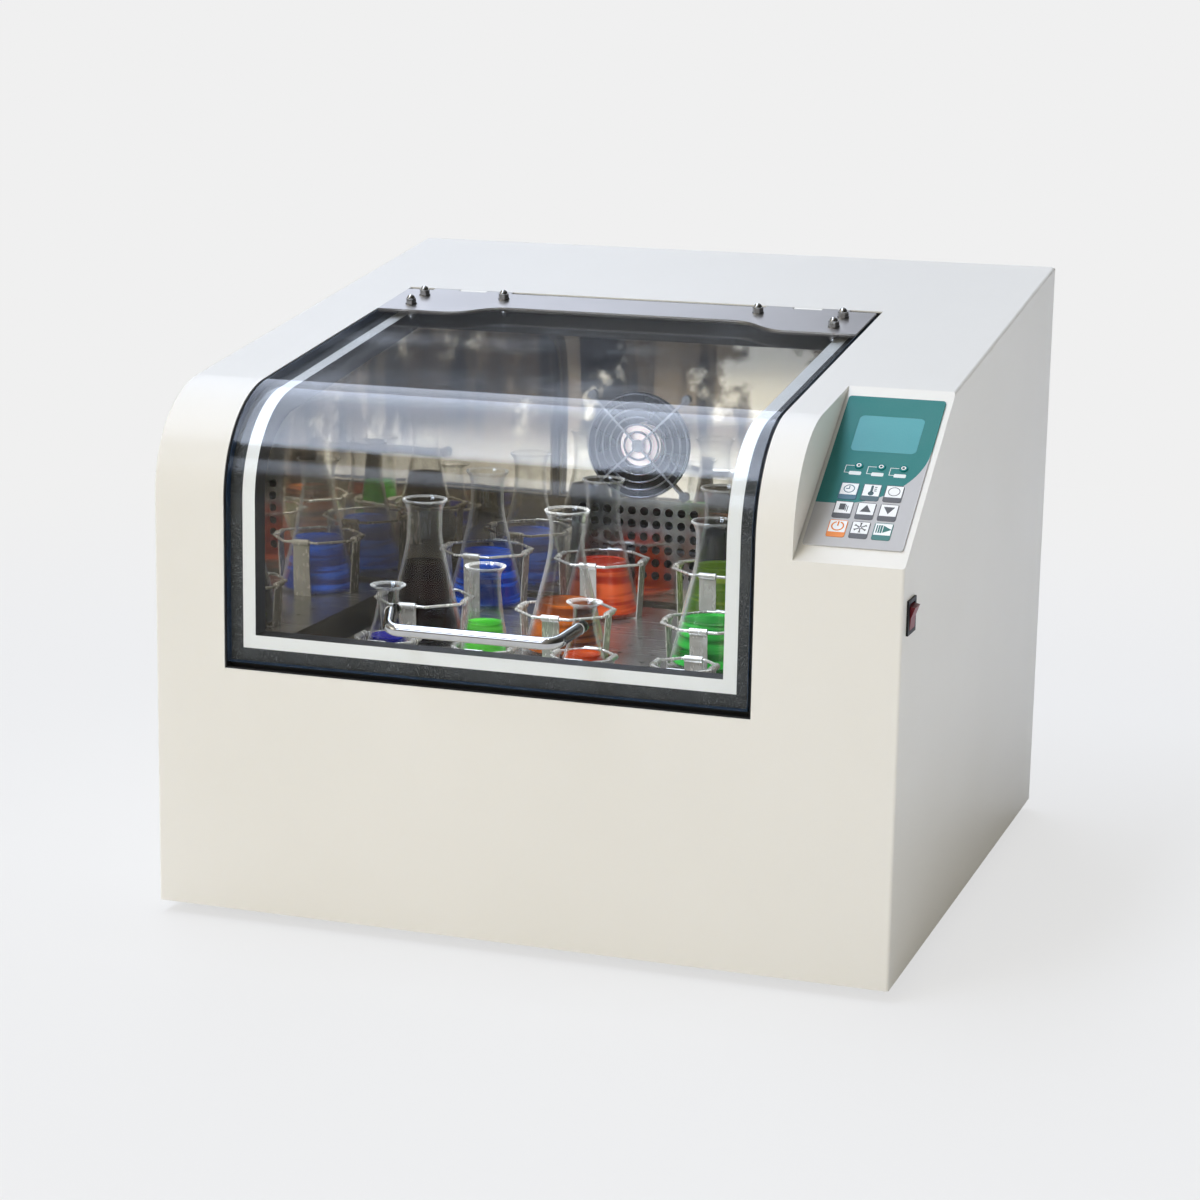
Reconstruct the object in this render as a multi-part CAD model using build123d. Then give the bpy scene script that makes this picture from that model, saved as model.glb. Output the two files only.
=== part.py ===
"""Incubated benchtop shaker: a sheet-metal cabinet with a curved clear lid, an orbiting
platform with flask clamps, a heated and cooled chamber and a sloped key panel.

Millimetres. X to the right, Y to the back, Z up. The cabinet is drawn about its own
centre, standing on its feet at Z 0, and is moved at the end so that the origin is the
bottom centre of the whole object."""
import os
from math import atan, cos, degrees, hypot, pi, radians, sin, tan

from build123d import *

# ---- cabinet -------------------------------------------------------------
body_width = 740.0
body_depth = 697.0
foot_height = 12.0
foot_radius = 20.0
foot_inset = 70.0
foot_chamfer = 2.0
rear_height = 615.0          # top of the rear edge above the bench
front_roof_height = 512.0    # where the sloping roof would meet the front face
bend_radius = 108.0          # rolled bend between front face and roof
sheet = 1.5                  # folded steel sheet
fold_radius = 3.0            # round of the casing's side and front edges
seat_gap = 0.1               # between folded sheets that lie on each other
rear_flange = 18.0
pan_lip = 22.0
pan_gap = 0.3

# ---- sloped control panel in the right front corner ----------------------
panel_left = 267.0
panel_front_height = 405.5
panel_angle = 35.2
overlay_margin_x = 4.0
overlay_width = 93.0
overlay_start = 20.7
overlay_length = 198.0
overlay_thickness = 1.5
overlay_corner = 3.0
display_start = 145.0
display_width = 62.0
display_length = 47.7
display_corner = 5.0
display_lip = 3.0
inlay_gap = 0.1
key_width = 17.0
key_length = 21.5
key_corner = 2.0
key_thickness = 1.2
key_gap = 0.25
key_proud = 0.25
key_travel = 0.5
key_pitch_x = 21.0
key_pitch_y = 24.25
key_first = 43.0
key_columns = 3
key_rows = 3
key_offset = 2.0             # right of the overlay's middle, as the lamps and display are
lamp_offset = 4.4
display_offset = 1.2
key_stem_radius = 1.5
key_stem_hole = 1.9
key_stem_drop = 4.0
lamp_row = 125.0
lamp_radius = 4.0
lamp_height = 2.6
lamp_chamfer = 0.4
board_thickness = 1.6
board_depth = 10.0           # underside of the board below the panel face
board_margin = 6.0
switch_body = 6.0
spacer_radius = 3.0

# ---- lid, its recess and its seat ----------------------------------------
lid_center_x = -32.0
lid_width = 522.0
lid_thickness = 8.0
lid_bottom = 262.0
lid_rear = 100.0
recess_gap_x = 3.3
recess_gap_bottom = 7.2
recess_rear = 121.0
seat_flange = 12.0
gasket_gap = 0.3
gasket_thickness = 3.0
gasket_width = 13.0
gasket_rear = 98.0
seal_width = 13.0
seal_lip = 2.5
seal_lip_depth = 22.0
seal_gap = 0.1

# ---- lid hinges, plate and handle ----------------------------------------
hinge_y = 112.0
plate_thickness = 2.0
knuckle_radius = 6.5
hinge_pin_radius = 4.0
hinge_fit = 0.05
hinge_offset = 187.0         # of each hinge from the middle of the lid
hinge_length = 90.0
knuckle_gap = 0.5
body_leaf_length = 42.0
body_leaf_thickness = 3.0
plate_back_edge = 6.0        # distances from the hinge line, along the roof
plate_middle_edge = 63.0
plate_end_edge = 93.0
plate_middle_half = 120.0
plate_end_half = 190.0
bolt_radius = 3.0
bolt_hole_radius = 3.3
nut_across_flats = 10.0
nut_height = 5.0
nut_dome_radius = 4.6
washer_radius = 6.2
washer_thickness = 1.0
bolt_head_radius = 5.5
bolt_head_height = 3.2
outer_bolt_offset = 232.0
inner_bolt_offset = 141.0
front_bolt_distance = 70.0
rear_bolt_distance = 31.0
handle_x = -28.0
handle_half = 82.0
handle_root_half = 94.0
handle_radius = 6.0
handle_reach = 35.0
handle_height = 316.5
handle_root_rise = 9.0
handle_bend = 15.0
handle_root_length = 6.0
handle_screw_radius = 2.5
handle_screw_depth = 8.0

# ---- chamber -------------------------------------------------------------
liner_sheet = 1.2
chamber_left = -275.0
chamber_right = 213.0
chamber_front = -323.0
chamber_back = 112.0
chamber_floor = 212.0
sill_drop = 3.0
insulation = 24.0
insulation_gap = 0.3
insulation_top = 400.0

# ---- circulation fan, grille and heat exchangers --------------------------
fan_x = -28.0
fan_z = 425.0
fan_size = 120.0
fan_depth = 38.0
fan_corner = 6.0
motor_cup_depth = 10.0
strut_width = 6.0
strut_thickness = 4.0
root_overlap = 2.0           # of struts and blades into the hubs
hub_recess = 4.0
hub_cup_gap = 2.0
fan_shaft_inset = 2.0
fan_bore = 58.0
fan_hub = 23.0
fan_tip_gap = 2.0
fan_blades = 7
blade_thickness = 2.0
blade_chord = 24.0
blade_pitch = 38.0
fan_shaft_radius = 3.0
running_fit = 0.05
guard_rings = 6
guard_first_ring = 15.0
guard_ring_pitch = 8.2
guard_wire = 1.2
guard_standoff = 4.0
guard_lug_radius = 5.0
fan_screw_pitch = 105.0
grille_center_x = -27.0
grille_center_z = 319.0
grille_columns = 10
grille_rows = 6
grille_pitch = 14.0
grille_hole = 4.6
grille_border = 8.0
plenum_depth = 88.0
plenum_side = 12.0
heater_radius = 4.0
heater_rows = 4
heater_pitch = 24.0
heater_bend = 11.5
heater_depth = 24.0
heater_side_gap = 14.0
heater_first = 22.0
coil_fins = 15
coil_tubes = 3
fin_thickness = 1.0
coil_depth = 22.0
tube_radius = 4.5

# ---- platform and orbital drive ------------------------------------------
platform_width = 450.0
platform_depth = 400.0
platform_top = 252.0
platform_thickness = 4.0
platform_corner = 12.0
orbit_radius = 10.0
shaft_radius = 10.0
shaft_hole_gap = 1.5
crank_radius = 26.0
crank_bottom = 217.0
crank_thickness = 7.0
pin_radius = 6.0
hub_radius = 18.0
hub_gap = 3.0
bearing_cap = 1.0
idler_x = 150.0
idler_y = 130.0
idler_pin = 5.0
idler_base_radius = 22.0
idler_base_height = 10.0
idler_arm_thickness = 5.0
idler_floor = 2.0
idler_end_gap = 0.5
idler_lift = 1.0
idler_hub_radius = 14.0
tap_radius = 2.5
tap_pitch_x = 35.0
tap_pitch_y = 34.0
tap_columns = 12
tap_rows = 10
mount_spacing_x = 424.0
mount_spacing_y = 374.0
mount_hole_radius = 3.3
deck_height = 150.0
deck_sheet = 3.0
deck_margin = 24.0
bearing_radius = 30.0
bearing_flange = 44.0
bearing_flange_thickness = 8.0
shaft_bottom = 94.0
counterweight_radius = 62.0
counterweight_thickness = 18.0
counterweight_bottom = 125.0
pulley_height = 18.0
pulley_bottom = 99.0
driven_pulley_radius = 60.0
motor_pulley_radius = 20.0
belt_thickness = 3.0
belt_width = 12.0
belt_gap = 0.3
belt_side_gap = 1.0
pulley_flange = 3.0
motor_distance = 150.0
motor_radius = 42.0
motor_height = 74.0
motor_shaft_radius = 6.0
motor_foot_thickness = 6.0
motor_foot_reach = 10.0
motor_shaft_end_gap = 2.0

# ---- flask clamps and flasks ---------------------------------------------
clamp_sheet = 1.2
clamp_arm_width = 18.0
clamp_wire = 1.5
clip_radius = 3.4
large_clamp_radius = 46.0
large_clamp_foot = 43.0
back_ring_height = 60.0
front_ring_height = 44.0
small_clamp_radius = 29.0
small_clamp_foot = 27.0
small_ring_height = 23.0
back_row_y = 45.0
back_row_x = -176.0
back_row_pitch = 131.0
front_row_y = -145.0
front_row_x = -171.0
front_row_pitch = 152.5
small_row_y = -247.0
small_row_x = -168.0
small_row_pitch = 102.0
large_per_row = 3
small_clamps = 4
glass = 1.8
flask_heel_share = 0.16      # of the base radius
flask_neck_share = 0.74      # of the height
flask_rim_share = 0.055
flask_heel_rise = 0.4
flask_250_ml = {"base": 41.0, "height": 145.0, "neck": 17.5, "rim": 23.0}
flask_100_ml = {"base": 26.0, "height": 103.0, "neck": 15.0, "rim": 20.5}
flask_50_ml = {"base": 25.0, "height": 76.0, "neck": 10.5, "rim": 18.0}

# ---- rear compartment, rear cover and power --------------------------------
cover_sheet = 1.5
cover_screw_radius = 3.5
cover_screw_height = 2.0
cover_screw_inset = 9.0
cover_screws_per_side = 4
screw_slot = 0.8
screw_slot_rim = 1.0
louvre_count = 9
louvre_length = 180.0
louvre_height = 6.0
louvre_pitch = 16.0
louvre_x = 190.0
louvre_first = 90.0
compressor_x = -230.0
compressor_y = 235.0
compressor_radius = 66.0
compressor_height = 165.0
compressor_dome = 30.0
compressor_plate = 138.0
compressor_plate_corner = 12.0
compressor_plate_thickness = 4.0
compressor_post = 10.0
compressor_post_radius = 9.0
compressor_post_offset = 59.0
condenser_x = 190.0
condenser_y = 305.0
condenser_width = 240.0
condenser_height = 210.0
condenser_fins = 20
condenser_tubes = 6
inlet_x = 320.0
inlet_z = 60.0
inlet_width = 27.5
inlet_height = 20.0
inlet_depth = 24.0
inlet_flange_x = 50.0
inlet_flange_z = 27.0
inlet_flange = 3.0
inlet_wall = 2.0
inlet_pin_recess = 6.0
inlet_pin_offset = 7.0
inlet_pin_rise = 2.0
inlet_pin_width = 4.0
inlet_pin_thickness = 2.0

# ---- rocker switch on the right side --------------------------------------
switch_y = -319.0
switch_z = 358.0
bezel_width = 30.6
bezel_height = 32.0
bezel_thickness = 2.0
bezel_wall = 2.5
switch_depth = 20.0
rocker_half_height = 10.8
rocker_width = 20.0
rocker_gap = 0.4
rocker_tilt = 12.0
rocker_pivot_depth = 4.0
rocker_face = 6.5
rocker_waist = 5.0
rocker_pivot_radius = 2.0
rocker_side_depth = 1.0
rocker_waist_half = 3.0
rocker_pin_end = 1.0

# ---- lines that the pieces share -------------------------------------------
front = -body_depth / 2
rear = body_depth / 2
left = -body_width / 2
right = body_width / 2
slope = atan((rear_height - front_roof_height) / body_depth)
bend_y = front + bend_radius
bend_z = front_roof_height + bend_radius * tan(slope) - bend_radius / cos(slope)
ledge_depth = lid_thickness + gasket_gap + gasket_thickness
lid_left = lid_center_x - lid_width / 2
lid_right = lid_center_x + lid_width / 2
recess_left = lid_left - recess_gap_x
recess_right = lid_right + recess_gap_x
recess_bottom = lid_bottom - recess_gap_bottom
seal_left = lid_left + gasket_width
seal_right = lid_right - gasket_width
seal_bottom = lid_bottom + gasket_width
seal_rear = gasket_rear - gasket_width
opening_left = seal_left + seal_width
opening_right = seal_right - seal_width
opening_bottom = seal_bottom + seal_width
opening_rear = seal_rear - seal_width
sill = opening_bottom - seal_lip - sill_drop
shaft_x = (chamber_left + chamber_right) / 2
shaft_y = (chamber_front + chamber_back) / 2
platform_x = shaft_x + orbit_radius
platform_bottom = platform_top - platform_thickness
clamp_top = platform_top + clamp_sheet
pan_top = foot_height + sheet
far = 1000.0


def block(x0, x1, y0, y1, z0, z1):
    """A box between six planes."""
    return Pos((x0 + x1) / 2, (y0 + y1) / 2, (z0 + z1) / 2) * Box(x1 - x0, y1 - y0, z1 - z0)


def post(x, y, z0, z1, radius):
    """An upright cylinder between two heights."""
    return Pos(x, y, (z0 + z1) / 2) * Cylinder(radius, z1 - z0)


def across(x0, x1, y, z, radius):
    """A cylinder along X."""
    return Pos((x0 + x1) / 2, y, z) * Rot(0, 90, 0) * Cylinder(radius, x1 - x0)


def roof_height(y):
    """Height of the sloping roof above the bench at a depth y."""
    return front_roof_height + (y - front) * tan(slope)


def side_face(depth, y_end, z_start):
    """The cabinet's side outline, moved inward by a depth, as a face in the YZ plane."""
    radius = bend_radius - depth
    tangent_y = bend_y - radius * sin(slope)
    tangent_z = bend_z + radius * cos(slope)
    middle = (pi + pi / 2 + slope) / 2
    arc_middle = (bend_y + radius * cos(middle), bend_z + radius * sin(middle))
    end_z = tangent_z + (y_end - tangent_y) * tan(slope)
    lines = Line((front + depth, z_start), (front + depth, bend_z))
    lines += ThreePointArc((front + depth, bend_z), arc_middle, (tangent_y, tangent_z))
    lines += Polyline((tangent_y, tangent_z), (y_end, end_z), (y_end, z_start), (front + depth, z_start))
    return make_face(lines)


def hull(depth, x0, x1, y_end=rear, z_start=foot_height):
    """The space under the cabinet's skin, moved inward by a depth, between two X planes."""
    face = Plane.YZ * side_face(depth, y_end, z_start)
    return extrude(Pos(x0, 0, 0) * face, amount=x1 - x0)


def skin(depth0, depth1, x0, x1, y_end, z_start):
    """A layer that follows the cabinet's skin from one depth to a deeper one."""
    outer = hull(depth0, x0, x1, y_end, z_start)
    return outer - hull(depth1, x0 - sheet, x1 + sheet, y_end + sheet, z_start - sheet)


def on_panel(u, v, h):
    """A place on the sloped panel: u from its left wall, v up the slope, h above it."""
    return Location((panel_left, front, panel_front_height), (panel_angle, 0, 0)) * Pos(u, v, h)


def on_roof(x, distance, h):
    """A place on the roof: x, a distance forward of the hinge line, h above the sheet."""
    origin = Location((x, hinge_y, roof_height(hinge_y)), (degrees(slope), 0, 0))
    return origin * Pos(0, -distance, h)


def rounded_plate(width, length, thickness, corner):
    """A flat plate with round corners, its underside at 0."""
    return extrude(RectangleRounded(width, length, corner), amount=thickness)


# ---- casing ---------------------------------------------------------------
def notch(skin_offset):
    """The wedge cut out of the right front corner for the panel, grown by an offset."""
    width = body_width / 2 - panel_left + far
    wedge = Box(width, far, far, align=(Align.MIN, Align.CENTER, Align.MIN))
    return on_panel(-skin_offset, 0, -skin_offset) * wedge


def panel_cuts():
    """Holes in the panel face for key stems, lamps and the display."""
    depth = 4 * sheet
    cuts = []
    for u, v in key_places():
        cuts.append(on_panel(u, v, 0) * Cylinder(key_stem_hole, depth))
    for u in lamp_places():
        cuts.append(on_panel(u, lamp_row, 0) * Cylinder(lamp_radius + inlay_gap, depth))
    window_u, window_v = display_place()
    window = Box(display_width - 2 * display_lip, display_length - 2 * display_lip, depth)
    cuts.append(on_panel(window_u, window_v, 0) * window)
    return cuts


def rounded_hull():
    """The cabinet's outside, with its side and front edges rounded."""
    solid = hull(0, left, right)
    ends = [edge for edge in solid.edges() if abs(edge.center().X) > right - sheet]
    kept = [edge for edge in ends if edge.center().Z > foot_height + sheet]
    return fillet([edge for edge in kept if edge.center().Y < rear - sheet], fold_radius)


def outer_casing():
    casing = rounded_hull()
    inside = hull(sheet, left + sheet, right - sheet, rear - sheet, foot_height - sheet)
    casing = casing - notch(0) - (inside - notch(sheet))
    casing -= block(left + rear_flange, right - rear_flange, rear - 2 * sheet, rear + sheet,
                    foot_height - sheet, rear_height - 2 * rear_flange)
    casing -= block(recess_left, recess_right, front - sheet, recess_rear, recess_bottom, rear_height)
    switch_half_y = bezel_width / 2 - bezel_wall / 2
    switch_half_z = bezel_height / 2 - bezel_wall / 2
    casing -= block(right - 2 * sheet, right + sheet, switch_y - switch_half_y,
                    switch_y + switch_half_y, switch_z - switch_half_z, switch_z + switch_half_z)
    for cut in panel_cuts():
        casing -= cut
    for x, z in cover_screw_places():
        casing -= Pos(x, rear, z) * Rot(90, 0, 0) * Cylinder(bolt_radius / 2, 4 * sheet)
    return casing


def base_pan():
    reach_x = right - sheet - pan_gap
    reach_front = front + sheet + pan_gap
    reach_rear = rear - sheet - pan_gap
    pan = block(-reach_x, reach_x, reach_front, reach_rear, foot_height, foot_height + pan_lip)
    pan -= block(-reach_x + sheet, reach_x - sheet, reach_front + sheet, reach_rear - sheet,
                 pan_top, foot_height + 2 * pan_lip)
    return pan


def feet():
    solids = []
    for x in (left + foot_inset, right - foot_inset):
        for y in (front + foot_inset, rear - foot_inset):
            foot = Cylinder(foot_radius, foot_height, align=(Align.CENTER, Align.CENTER, Align.MIN))
            foot = chamfer(foot.edges().group_by(Axis.Z)[0], foot_chamfer)
            solids.append(Pos(x, y, 0) * foot)
    return solids


# ---- rear cover -------------------------------------------------------------
def cover_screw_places():
    low = foot_height + pan_lip + 3 * cover_screw_inset
    high = rear_height - rear_flange / 2 - 2 * cover_screw_inset
    side = right - cover_screw_inset
    step = (high - low) / (cover_screws_per_side - 1)
    return [(x, low + k * step) for x in (-side, side) for k in range(cover_screws_per_side)]


def rear_cover():
    cover = block(left, right, rear, rear + cover_sheet, foot_height, rear_height - sheet)
    for sign in (-1, 1):
        for k in range(louvre_count):
            slot = Box(louvre_length - louvre_height, 4 * cover_sheet, louvre_height)
            for end in (-1, 1):
                round_end = Rot(90, 0, 0) * Cylinder(louvre_height / 2, 4 * cover_sheet)
                slot += Pos(end * (louvre_length - louvre_height) / 2, 0, 0) * round_end
            cover -= Pos(sign * louvre_x, rear, louvre_first + k * louvre_pitch) * slot
    for x, z in cover_screw_places():
        cover -= Pos(x, rear, z) * Rot(90, 0, 0) * Cylinder(bolt_radius / 2 + inlay_gap, 4 * cover_sheet)
    cover -= Pos(inlet_x, rear, inlet_z) * Box(inlet_width + inlay_gap, 4 * cover_sheet,
                                              inlet_height + inlay_gap)
    return cover


def rear_cover_screws():
    solids = []
    outside = rear + cover_sheet
    for x, z in cover_screw_places():
        head = Rot(90, 0, 0) * Cylinder(cover_screw_radius, cover_screw_height)
        shank_length = cover_sheet + 3 * sheet
        shank = Rot(90, 0, 0) * Cylinder(bolt_radius / 2 - inlay_gap, shank_length)
        screw = Pos(x, outside + cover_screw_height / 2, z) * head
        screw += Pos(x, outside - shank_length / 2, z) * shank
        slot = Box(screw_slot, cover_screw_height, 2 * (cover_screw_radius - screw_slot_rim))
        screw -= Pos(x, outside + cover_screw_height, z) * slot
        solids.append(screw)
    return solids


def power_inlet():
    """A recessed three-pin appliance inlet on the rear cover."""
    outside = rear + cover_sheet
    body = Box(inlet_width, inlet_depth, inlet_height)
    socket = Pos(inlet_x, outside - inlet_depth / 2, inlet_z) * body
    flange = Box(inlet_flange_x, inlet_flange, inlet_flange_z)
    socket += Pos(inlet_x, outside + inlet_flange / 2, inlet_z) * flange
    cavity_depth = inlet_depth - inlet_wall
    cavity = Box(inlet_width - 2 * inlet_wall, cavity_depth + inlet_flange, inlet_height - 2 * inlet_wall)
    socket -= Pos(inlet_x, outside + inlet_flange - (cavity_depth + inlet_flange) / 2, inlet_z) * cavity
    pin_length = cavity_depth + inlet_flange - inlet_pin_recess
    pin_y = outside - cavity_depth + pin_length / 2
    pins = []
    for side in (-1, 0, 1):
        pin_z = inlet_z - inlet_pin_rise if side else inlet_z + inlet_pin_rise
        pin = Box(inlet_pin_thickness, pin_length, inlet_pin_width)
        pins.append(Pos(inlet_x + side * inlet_pin_offset, pin_y, pin_z) * pin)
    return [socket] + pins


# ---- seat of the lid ----------------------------------------------------------
def lid_seat_frame():
    """A folded tray that hangs under the casing's recess and carries the gasket."""
    flange_low = recess_bottom - seat_flange
    under_sheet = sheet + seat_gap
    frame = skin(under_sheet, under_sheet + sheet, recess_left - seat_flange,
                 recess_right + seat_flange, recess_rear + seat_flange, flange_low)
    frame += skin(under_sheet, ledge_depth + sheet, recess_left, recess_right, recess_rear, recess_bottom)
    pocket = hull(0, recess_left + sheet, recess_right - sheet, recess_rear - sheet, recess_bottom + sheet)
    deep = hull(ledge_depth, recess_left, recess_right, recess_rear, recess_bottom)
    frame -= pocket - deep
    edge = seal_lip + seal_gap
    frame -= block(opening_left - edge, opening_right + edge, front, opening_rear + edge,
                   opening_bottom - edge, rear_height)
    leaf_room = body_leaf_thickness + sheet + 2 * seat_gap
    for x in hinge_places():
        slot = Box(body_knuckle + 2 * knuckle_gap, body_leaf_length + knuckle_gap, leaf_room,
                   align=(Align.CENTER, Align.MIN, Align.MAX))
        frame -= on_roof(x, 0, 0) * slot
    return frame


def seat_gasket():
    """Dark foam band that the lid closes on."""
    top = lid_thickness + gasket_gap
    band = skin(top, ledge_depth, lid_left, lid_right, gasket_rear, lid_bottom)
    return band - block(seal_left - seal_gap, seal_right + seal_gap, front, seal_rear + seal_gap,
                        seal_bottom - seal_gap, rear_height)


def seal_strip():
    """White edge strip round the chamber mouth, with a lip that lines the opening."""
    top = lid_thickness + gasket_gap
    strip = skin(top, ledge_depth, seal_left, seal_right, seal_rear, seal_bottom)
    strip += skin(top, top + seal_lip_depth, opening_left - seal_lip, opening_right + seal_lip,
                  opening_rear + seal_lip, opening_bottom - seal_lip)
    return strip - block(opening_left, opening_right, front, opening_rear, opening_bottom, rear_height)


# ---- chamber --------------------------------------------------------------
def liner_hull(y_end):
    clearance = ledge_depth + sheet + seat_gap
    return hull(clearance, chamber_left - liner_sheet, chamber_right + liner_sheet, y_end,
                chamber_floor - liner_sheet)


def chamber_liner():
    """Polished stainless tub, with a sill at the front and open at the lid."""
    liner = liner_hull(chamber_back + liner_sheet)
    liner -= block(chamber_left - far, chamber_right + far, front, chamber_front - liner_sheet,
                   foot_height, sill - liner_sheet)
    liner -= block(chamber_left, chamber_right, chamber_front, chamber_back, chamber_floor, rear_height)
    liner -= block(chamber_left, chamber_right, front, chamber_back, sill, rear_height)
    liner -= fan_place(0) * Cylinder(fan_bore, 4 * liner_sheet)
    liner -= block(grille_left, grille_right, chamber_back - liner_sheet, chamber_back + 2 * liner_sheet,
                   grille_low, grille_high)
    liner -= post(shaft_x, shaft_y, foot_height, chamber_floor + sheet, shaft_radius + shaft_hole_gap)
    return liner


def chamber_insulation():
    """Foam slabs under, beside, in front of and behind the tub."""
    low = chamber_floor - liner_sheet - insulation_gap
    x0 = chamber_left - liner_sheet - insulation_gap
    x1 = chamber_right + liner_sheet + insulation_gap
    y0 = chamber_front - liner_sheet - insulation_gap
    y1 = chamber_back + liner_sheet + insulation_gap
    bottom = block(x0, x1, y0, y1, low - insulation, low)
    bottom -= post(shaft_x, shaft_y, low - 2 * insulation, low + sheet, bearing_radius + seat_gap)
    sill_room = front + sheet + insulation_gap
    sill_high = recess_bottom - seat_flange - sheet
    ahead = block(x0, x1, sill_room, y0 - insulation_gap, low - insulation, sill_high)
    left_slab = block(x0 - insulation, x0, y0, y1, low - insulation, insulation_top)
    right_slab = block(x1, x1 + insulation, y0, y1, low - insulation, panel_front_height)
    behind = block(x0, x1, y1 + insulation_gap, y1 + insulation,
                   low - insulation, insulation_top + insulation)
    gap = liner_sheet + insulation_gap
    behind -= block(plenum_left - gap, plenum_right + gap, y1, y1 + 2 * insulation,
                    plenum_low - gap, rear_height)
    return [bottom, ahead, left_slab, right_slab, behind]


# ---- air circulation --------------------------------------------------------
grille_width = (grille_columns - 1) * grille_pitch + 2 * grille_hole + 2 * grille_border
grille_height = (grille_rows - 1) * grille_pitch + 2 * grille_hole + 2 * grille_border
grille_left = grille_center_x - grille_width / 2 + grille_border / 2
grille_right = grille_center_x + grille_width / 2 - grille_border / 2
grille_low = grille_center_z - grille_height / 2 + grille_border / 2
grille_high = grille_center_z + grille_height / 2 - grille_border / 2
plenum_left = grille_center_x - grille_width / 2 - plenum_side
plenum_right = grille_center_x + grille_width / 2 + plenum_side
plenum_low = grille_center_z - grille_height / 2 - plenum_side
plenum_high = fan_z + fan_size / 2 + plenum_side
plenum_front = chamber_back + liner_sheet


def fan_place(h):
    """A place on the fan's axis, h in front of the chamber's back wall."""
    return Location((fan_x, chamber_back, fan_z), (90, 0, 0)) * Pos(0, 0, h)


def return_grille():
    plate = Box(grille_width, liner_sheet, grille_height)
    for i in range(grille_columns):
        for k in range(grille_rows):
            hole_x = (i - (grille_columns - 1) / 2) * grille_pitch
            hole_z = (k - (grille_rows - 1) / 2) * grille_pitch
            plate -= Pos(hole_x, 0, hole_z) * Rot(90, 0, 0) * Cylinder(grille_hole, 3 * liner_sheet)
    return Pos(grille_center_x, chamber_back - liner_sheet / 2, grille_center_z) * plate


def fan_guard():
    """Concentric chrome wires on two crossed bars, with a lug at each screw."""
    last_ring = guard_first_ring + (guard_rings - 1) * guard_ring_pitch
    lug_distance = fan_screw_pitch / 2 * 2 ** 0.5
    guard = Pos(0, 0, guard_standoff) * Cylinder(guard_first_ring - guard_ring_pitch, guard_wire)
    for k in range(guard_rings):
        guard += Pos(0, 0, guard_standoff) * Torus(guard_first_ring + k * guard_ring_pitch, guard_wire)
    for k in range(4):
        turn = Rot(0, 0, 45 + 90 * k)
        bar = Pos(last_ring / 2, 0, guard_standoff) * Box(last_ring, 2 * guard_wire, 2 * guard_wire)
        arm_length = lug_distance - last_ring + guard_wire
        arm = Pos(last_ring + arm_length / 2 - guard_wire, 0, guard_standoff / 2)
        guard += turn * bar
        guard += turn * arm * Box(arm_length, 2 * guard_wire, guard_standoff + 2 * guard_wire)
        lug = Cylinder(guard_lug_radius, guard_standoff, align=(Align.CENTER, Align.CENTER, Align.MIN))
        guard += turn * Pos(lug_distance, 0, 0) * lug
    guard = guard & (Pos(0, 0, far / 2) * Box(far, far, far))
    return fan_place(0) * guard


def fan_housing():
    """A square axial fan frame with its motor cup held by four struts at the back."""
    frame = Box(fan_size, fan_size, fan_depth, align=(Align.CENTER, Align.CENTER, Align.MAX))
    frame = fillet(frame.edges().filter_by(Axis.Z), fan_corner)
    frame -= Cylinder(fan_bore, 3 * fan_depth)
    cup_place = Pos(0, 0, -fan_depth + motor_cup_depth / 2)
    frame += cup_place * Cylinder(fan_hub, motor_cup_depth)
    strut_length = fan_bore - fan_hub + 2 * root_overlap
    strut = Pos((fan_bore + fan_hub) / 2, 0, -fan_depth + strut_thickness / 2)
    strut = strut * Box(strut_length, strut_width, strut_thickness)
    for k in range(4):
        frame += Rot(0, 0, 45 + 90 * k) * strut
    frame -= cup_place * Cylinder(fan_shaft_radius + running_fit, 2 * motor_cup_depth)
    return fan_place(-liner_sheet) * frame


def fan_impeller():
    hub_depth = fan_depth - motor_cup_depth - hub_recess - hub_cup_gap
    middle = -hub_recess - hub_depth / 2
    wheel = Pos(0, 0, middle) * Cylinder(fan_hub, hub_depth)
    blade_length = fan_bore - fan_tip_gap - fan_hub + root_overlap
    for k in range(fan_blades):
        blade = Box(blade_length, blade_chord, blade_thickness)
        tilted = Pos(fan_hub - root_overlap + blade_length / 2, 0, middle) * Rot(blade_pitch, 0, 0) * blade
        wheel += Rot(0, 0, 360 / fan_blades * k) * tilted
    wheel = wheel & Cylinder(fan_bore - fan_tip_gap, 4 * fan_depth)
    shaft_length = fan_depth - hub_recess - 2 * fan_shaft_inset
    shaft_middle = -hub_recess - fan_shaft_inset - shaft_length / 2
    wheel += Pos(0, 0, shaft_middle) * Cylinder(fan_shaft_radius, shaft_length)
    return fan_place(-liner_sheet) * wheel


def plenum_box():
    """Duct on the back of the chamber that joins grille, heat exchangers and fan."""
    duct = block(plenum_left, plenum_right, plenum_front, plenum_front + plenum_depth,
                 plenum_low, plenum_high)
    return duct - block(plenum_left + liner_sheet, plenum_right - liner_sheet, plenum_front - liner_sheet,
                        plenum_front + plenum_depth - liner_sheet, plenum_low + liner_sheet,
                        plenum_high - liner_sheet)


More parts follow.
